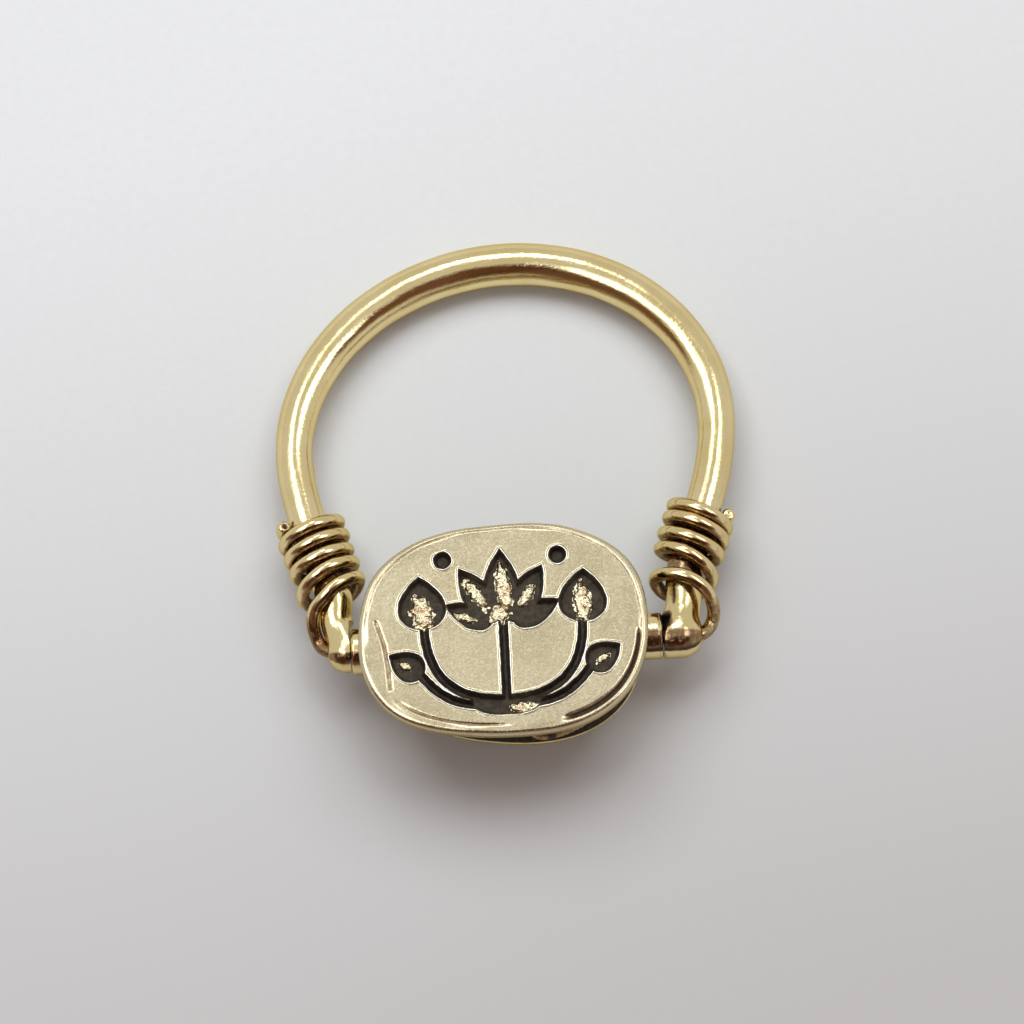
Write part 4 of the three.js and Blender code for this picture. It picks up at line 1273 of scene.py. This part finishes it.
# What the gold mirrors: azimuth and zenith of a patch's middle, its inner and outer angle, its tone.
ROOM_PATCHES = (
    (-95.0, 74.0, 20.0, 48.0, (0.46, 0.42, 0.38, 1.0)),
    (-85.0, 36.0, 18.0, 34.0, (0.088, 0.036, 0.024, 1.0)),
    (-42.0, 38.0, 14.0, 30.0, (0.15, 0.075, 0.05, 1.0)),
    (-125.0, 60.0, 16.0, 32.0, (0.14, 0.075, 0.05, 1.0)),
    (-155.0, 70.0, 12.0, 26.0, (0.16, 0.09, 0.06, 1.0)),
    (-158.0, 22.0, 9.0, 16.0, (3.0, 3.1, 3.3, 1.0)),
    (168.0, 31.0, 10.0, 17.0, (3.0, 3.1, 3.3, 1.0)),
    (128.0, 31.0, 6.0, 12.0, (3.2, 3.3, 3.5, 1.0)),
    (92.0, 41.0, 5.0, 10.0, (5.0, 5.2, 5.4, 1.0)),
    (8.0, 34.0, 9.0, 16.0, (3.0, 3.1, 3.3, 1.0)),
    (38.0, 33.0, 5.0, 10.0, (3.2, 3.3, 3.5, 1.0)),
)

CAMERA_ELEVATION = math.radians(79.4)
CAMERA_ROLL = math.radians(3.1)
CAMERA_DISTANCE = 300.0
FRAME_WIDTH = 47.616
FRAME_PIXELS = 1024.0
AIM_PIXELS_RIGHT = 1.0
AIM_PIXELS_UP = 131.8
AIM_OFFSET_X = 0.305
SENSOR_WIDTH = 36.0


def make_table():
    """A wide pale table under the ring with painted light: lighter to the upper left and darker towards the
    bottom, with a fine speckle.
    """
    reach = TABLE_REACH * MM
    corners = [(-reach, -reach, 0.0), (reach, -reach, 0.0), (reach, reach, 0.0), (-reach, reach, 0.0)]
    mesh = bpy.data.meshes.new("table")
    mesh.from_pydata(corners, [], [(0, 1, 2, 3)])
    table = bpy.data.objects.new("table", mesh)
    bpy.context.scene.collection.objects.link(table)
    finish = Nodes(bpy.data.materials.new("table_finish"), "OutputMaterial")
    here = finish.node("TexCoord").outputs["Object"]
    parts = finish.node("SeparateXYZ", {"Vector": here})
    # Painted light: the tone falls off from the upper left towards the bottom.
    up = finish.ramp(parts.outputs["Y"], -38.0 * MM, 32.0 * MM)
    across = finish.ramp(parts.outputs["X"], -30.0 * MM, 30.0 * MM)
    shade = finish.math("SUBTRACT", finish.math("ADD", up, 0.13), finish.math("MULTIPLY", across, 0.27))
    tone = finish.mix(shade, TABLE_PAINTED_SHADE_TONE, TABLE_PAINTED_LIGHT_TONE)
    speck = finish.ramp(finish.noise(here, 2400.0, 3.0, 0.7), 0.25, 0.75)
    tone = finish.mix(finish.math("MULTIPLY", speck, 0.12), tone, TABLE_SPECK_TONE)
    shader = finish.node("BsdfPrincipled", {"Base Color": tone, "Roughness": 0.9, "Specular IOR Level": 0.1})
    mesh.materials.append(finish.ends_in(shader))


def make_lamp(name, place, size, power):
    """A soft square lamp aimed at the middle of the ring, which the gold doesn't mirror."""
    light = bpy.data.lights.new(name, "AREA")
    light.shape = "SQUARE"
    light.size = size * MM
    light.energy = power
    lamp = bpy.data.objects.new(name, light)
    bpy.context.scene.collection.objects.link(lamp)
    lamp.location = Vector(place) * MM
    lamp.rotation_euler = (-lamp.location).to_track_quat("-Z", "Y").to_euler()
    lamp.visible_glossy = False


def make_room():
    """The room that the gold mirrors: white windows high to the left, ahead and to the right, pale walls, and
    a dim brown side towards the viewer's feet. Everything else gets one plain level."""
    world = bpy.data.worlds.new("room")
    bpy.context.scene.world = world
    room = Nodes(world, "OutputWorld")
    toward = room.node("TexCoord").outputs["Generated"]
    tone = ROOM_TONE
    for azimuth, zenith, inner, outer, patch_tone in ROOM_PATCHES:
        a, z = math.radians(azimuth), math.radians(zenith)
        middle = (math.sin(z) * math.cos(a), math.sin(z) * math.sin(a), math.cos(z))
        dot = room.node("VectorMath", {0: toward, 1: middle}, operation="DOT_PRODUCT").outputs["Value"]
        share = room.ramp(dot, math.cos(math.radians(outer)), math.cos(math.radians(inner)))
        tone = room.mix(share, tone, patch_tone)
    ray = room.node("LightPath")
    mirrored = room.math("MAXIMUM", ray.outputs["Is Glossy Ray"], ray.outputs["Is Transmission Ray"])
    tone = room.mix(mirrored, PLAIN_LIGHT, tone)
    room.ends_in(room.node("Background", {"Color": tone, "Strength": 1.0}))


def make_camera():
    """The photograph's view: from high above the table on the -Y side, with the pivot's right end rolled up a
    little, at arm's length through a long lens."""
    across = np.array([1.0, 0.0, 0.0])
    toward = np.array([0.0, -math.cos(CAMERA_ELEVATION), math.sin(CAMERA_ELEVATION)])
    up_table = np.array([0.0, math.sin(CAMERA_ELEVATION), math.cos(CAMERA_ELEVATION)])
    right = math.cos(CAMERA_ROLL) * across - math.sin(CAMERA_ROLL) * up_table
    up = math.sin(CAMERA_ROLL) * across + math.cos(CAMERA_ROLL) * up_table
    pixel = FRAME_WIDTH / FRAME_PIXELS
    aim = pivot + AIM_OFFSET_X * across + right * AIM_PIXELS_RIGHT * pixel + up * AIM_PIXELS_UP * pixel
    camera_data = bpy.data.cameras.new("camera")
    camera_data.sensor_width = SENSOR_WIDTH
    camera_data.sensor_fit = "HORIZONTAL"
    camera_data.lens = SENSOR_WIDTH * CAMERA_DISTANCE / FRAME_WIDTH
    camera_data.clip_start = 10.0 * MM
    camera_data.clip_end = 5.0
    camera = bpy.data.objects.new("camera", camera_data)
    bpy.context.scene.collection.objects.link(camera)
    camera.location = Vector(((aim + toward * CAMERA_DISTANCE) * MM).tolist())
    camera.rotation_euler = Matrix(np.column_stack([right, up, toward]).tolist()).to_euler()
    bpy.context.scene.camera = camera


make_table()
make_lamp("window", place=(-62.0, 150.0, 285.0), size=210.0, power=0.60)
make_lamp("side_window", place=(95.0, 130.0, 270.0), size=170.0, power=0.30)
make_room()
make_camera()
bpy.context.scene.view_settings.view_transform = "Standard"
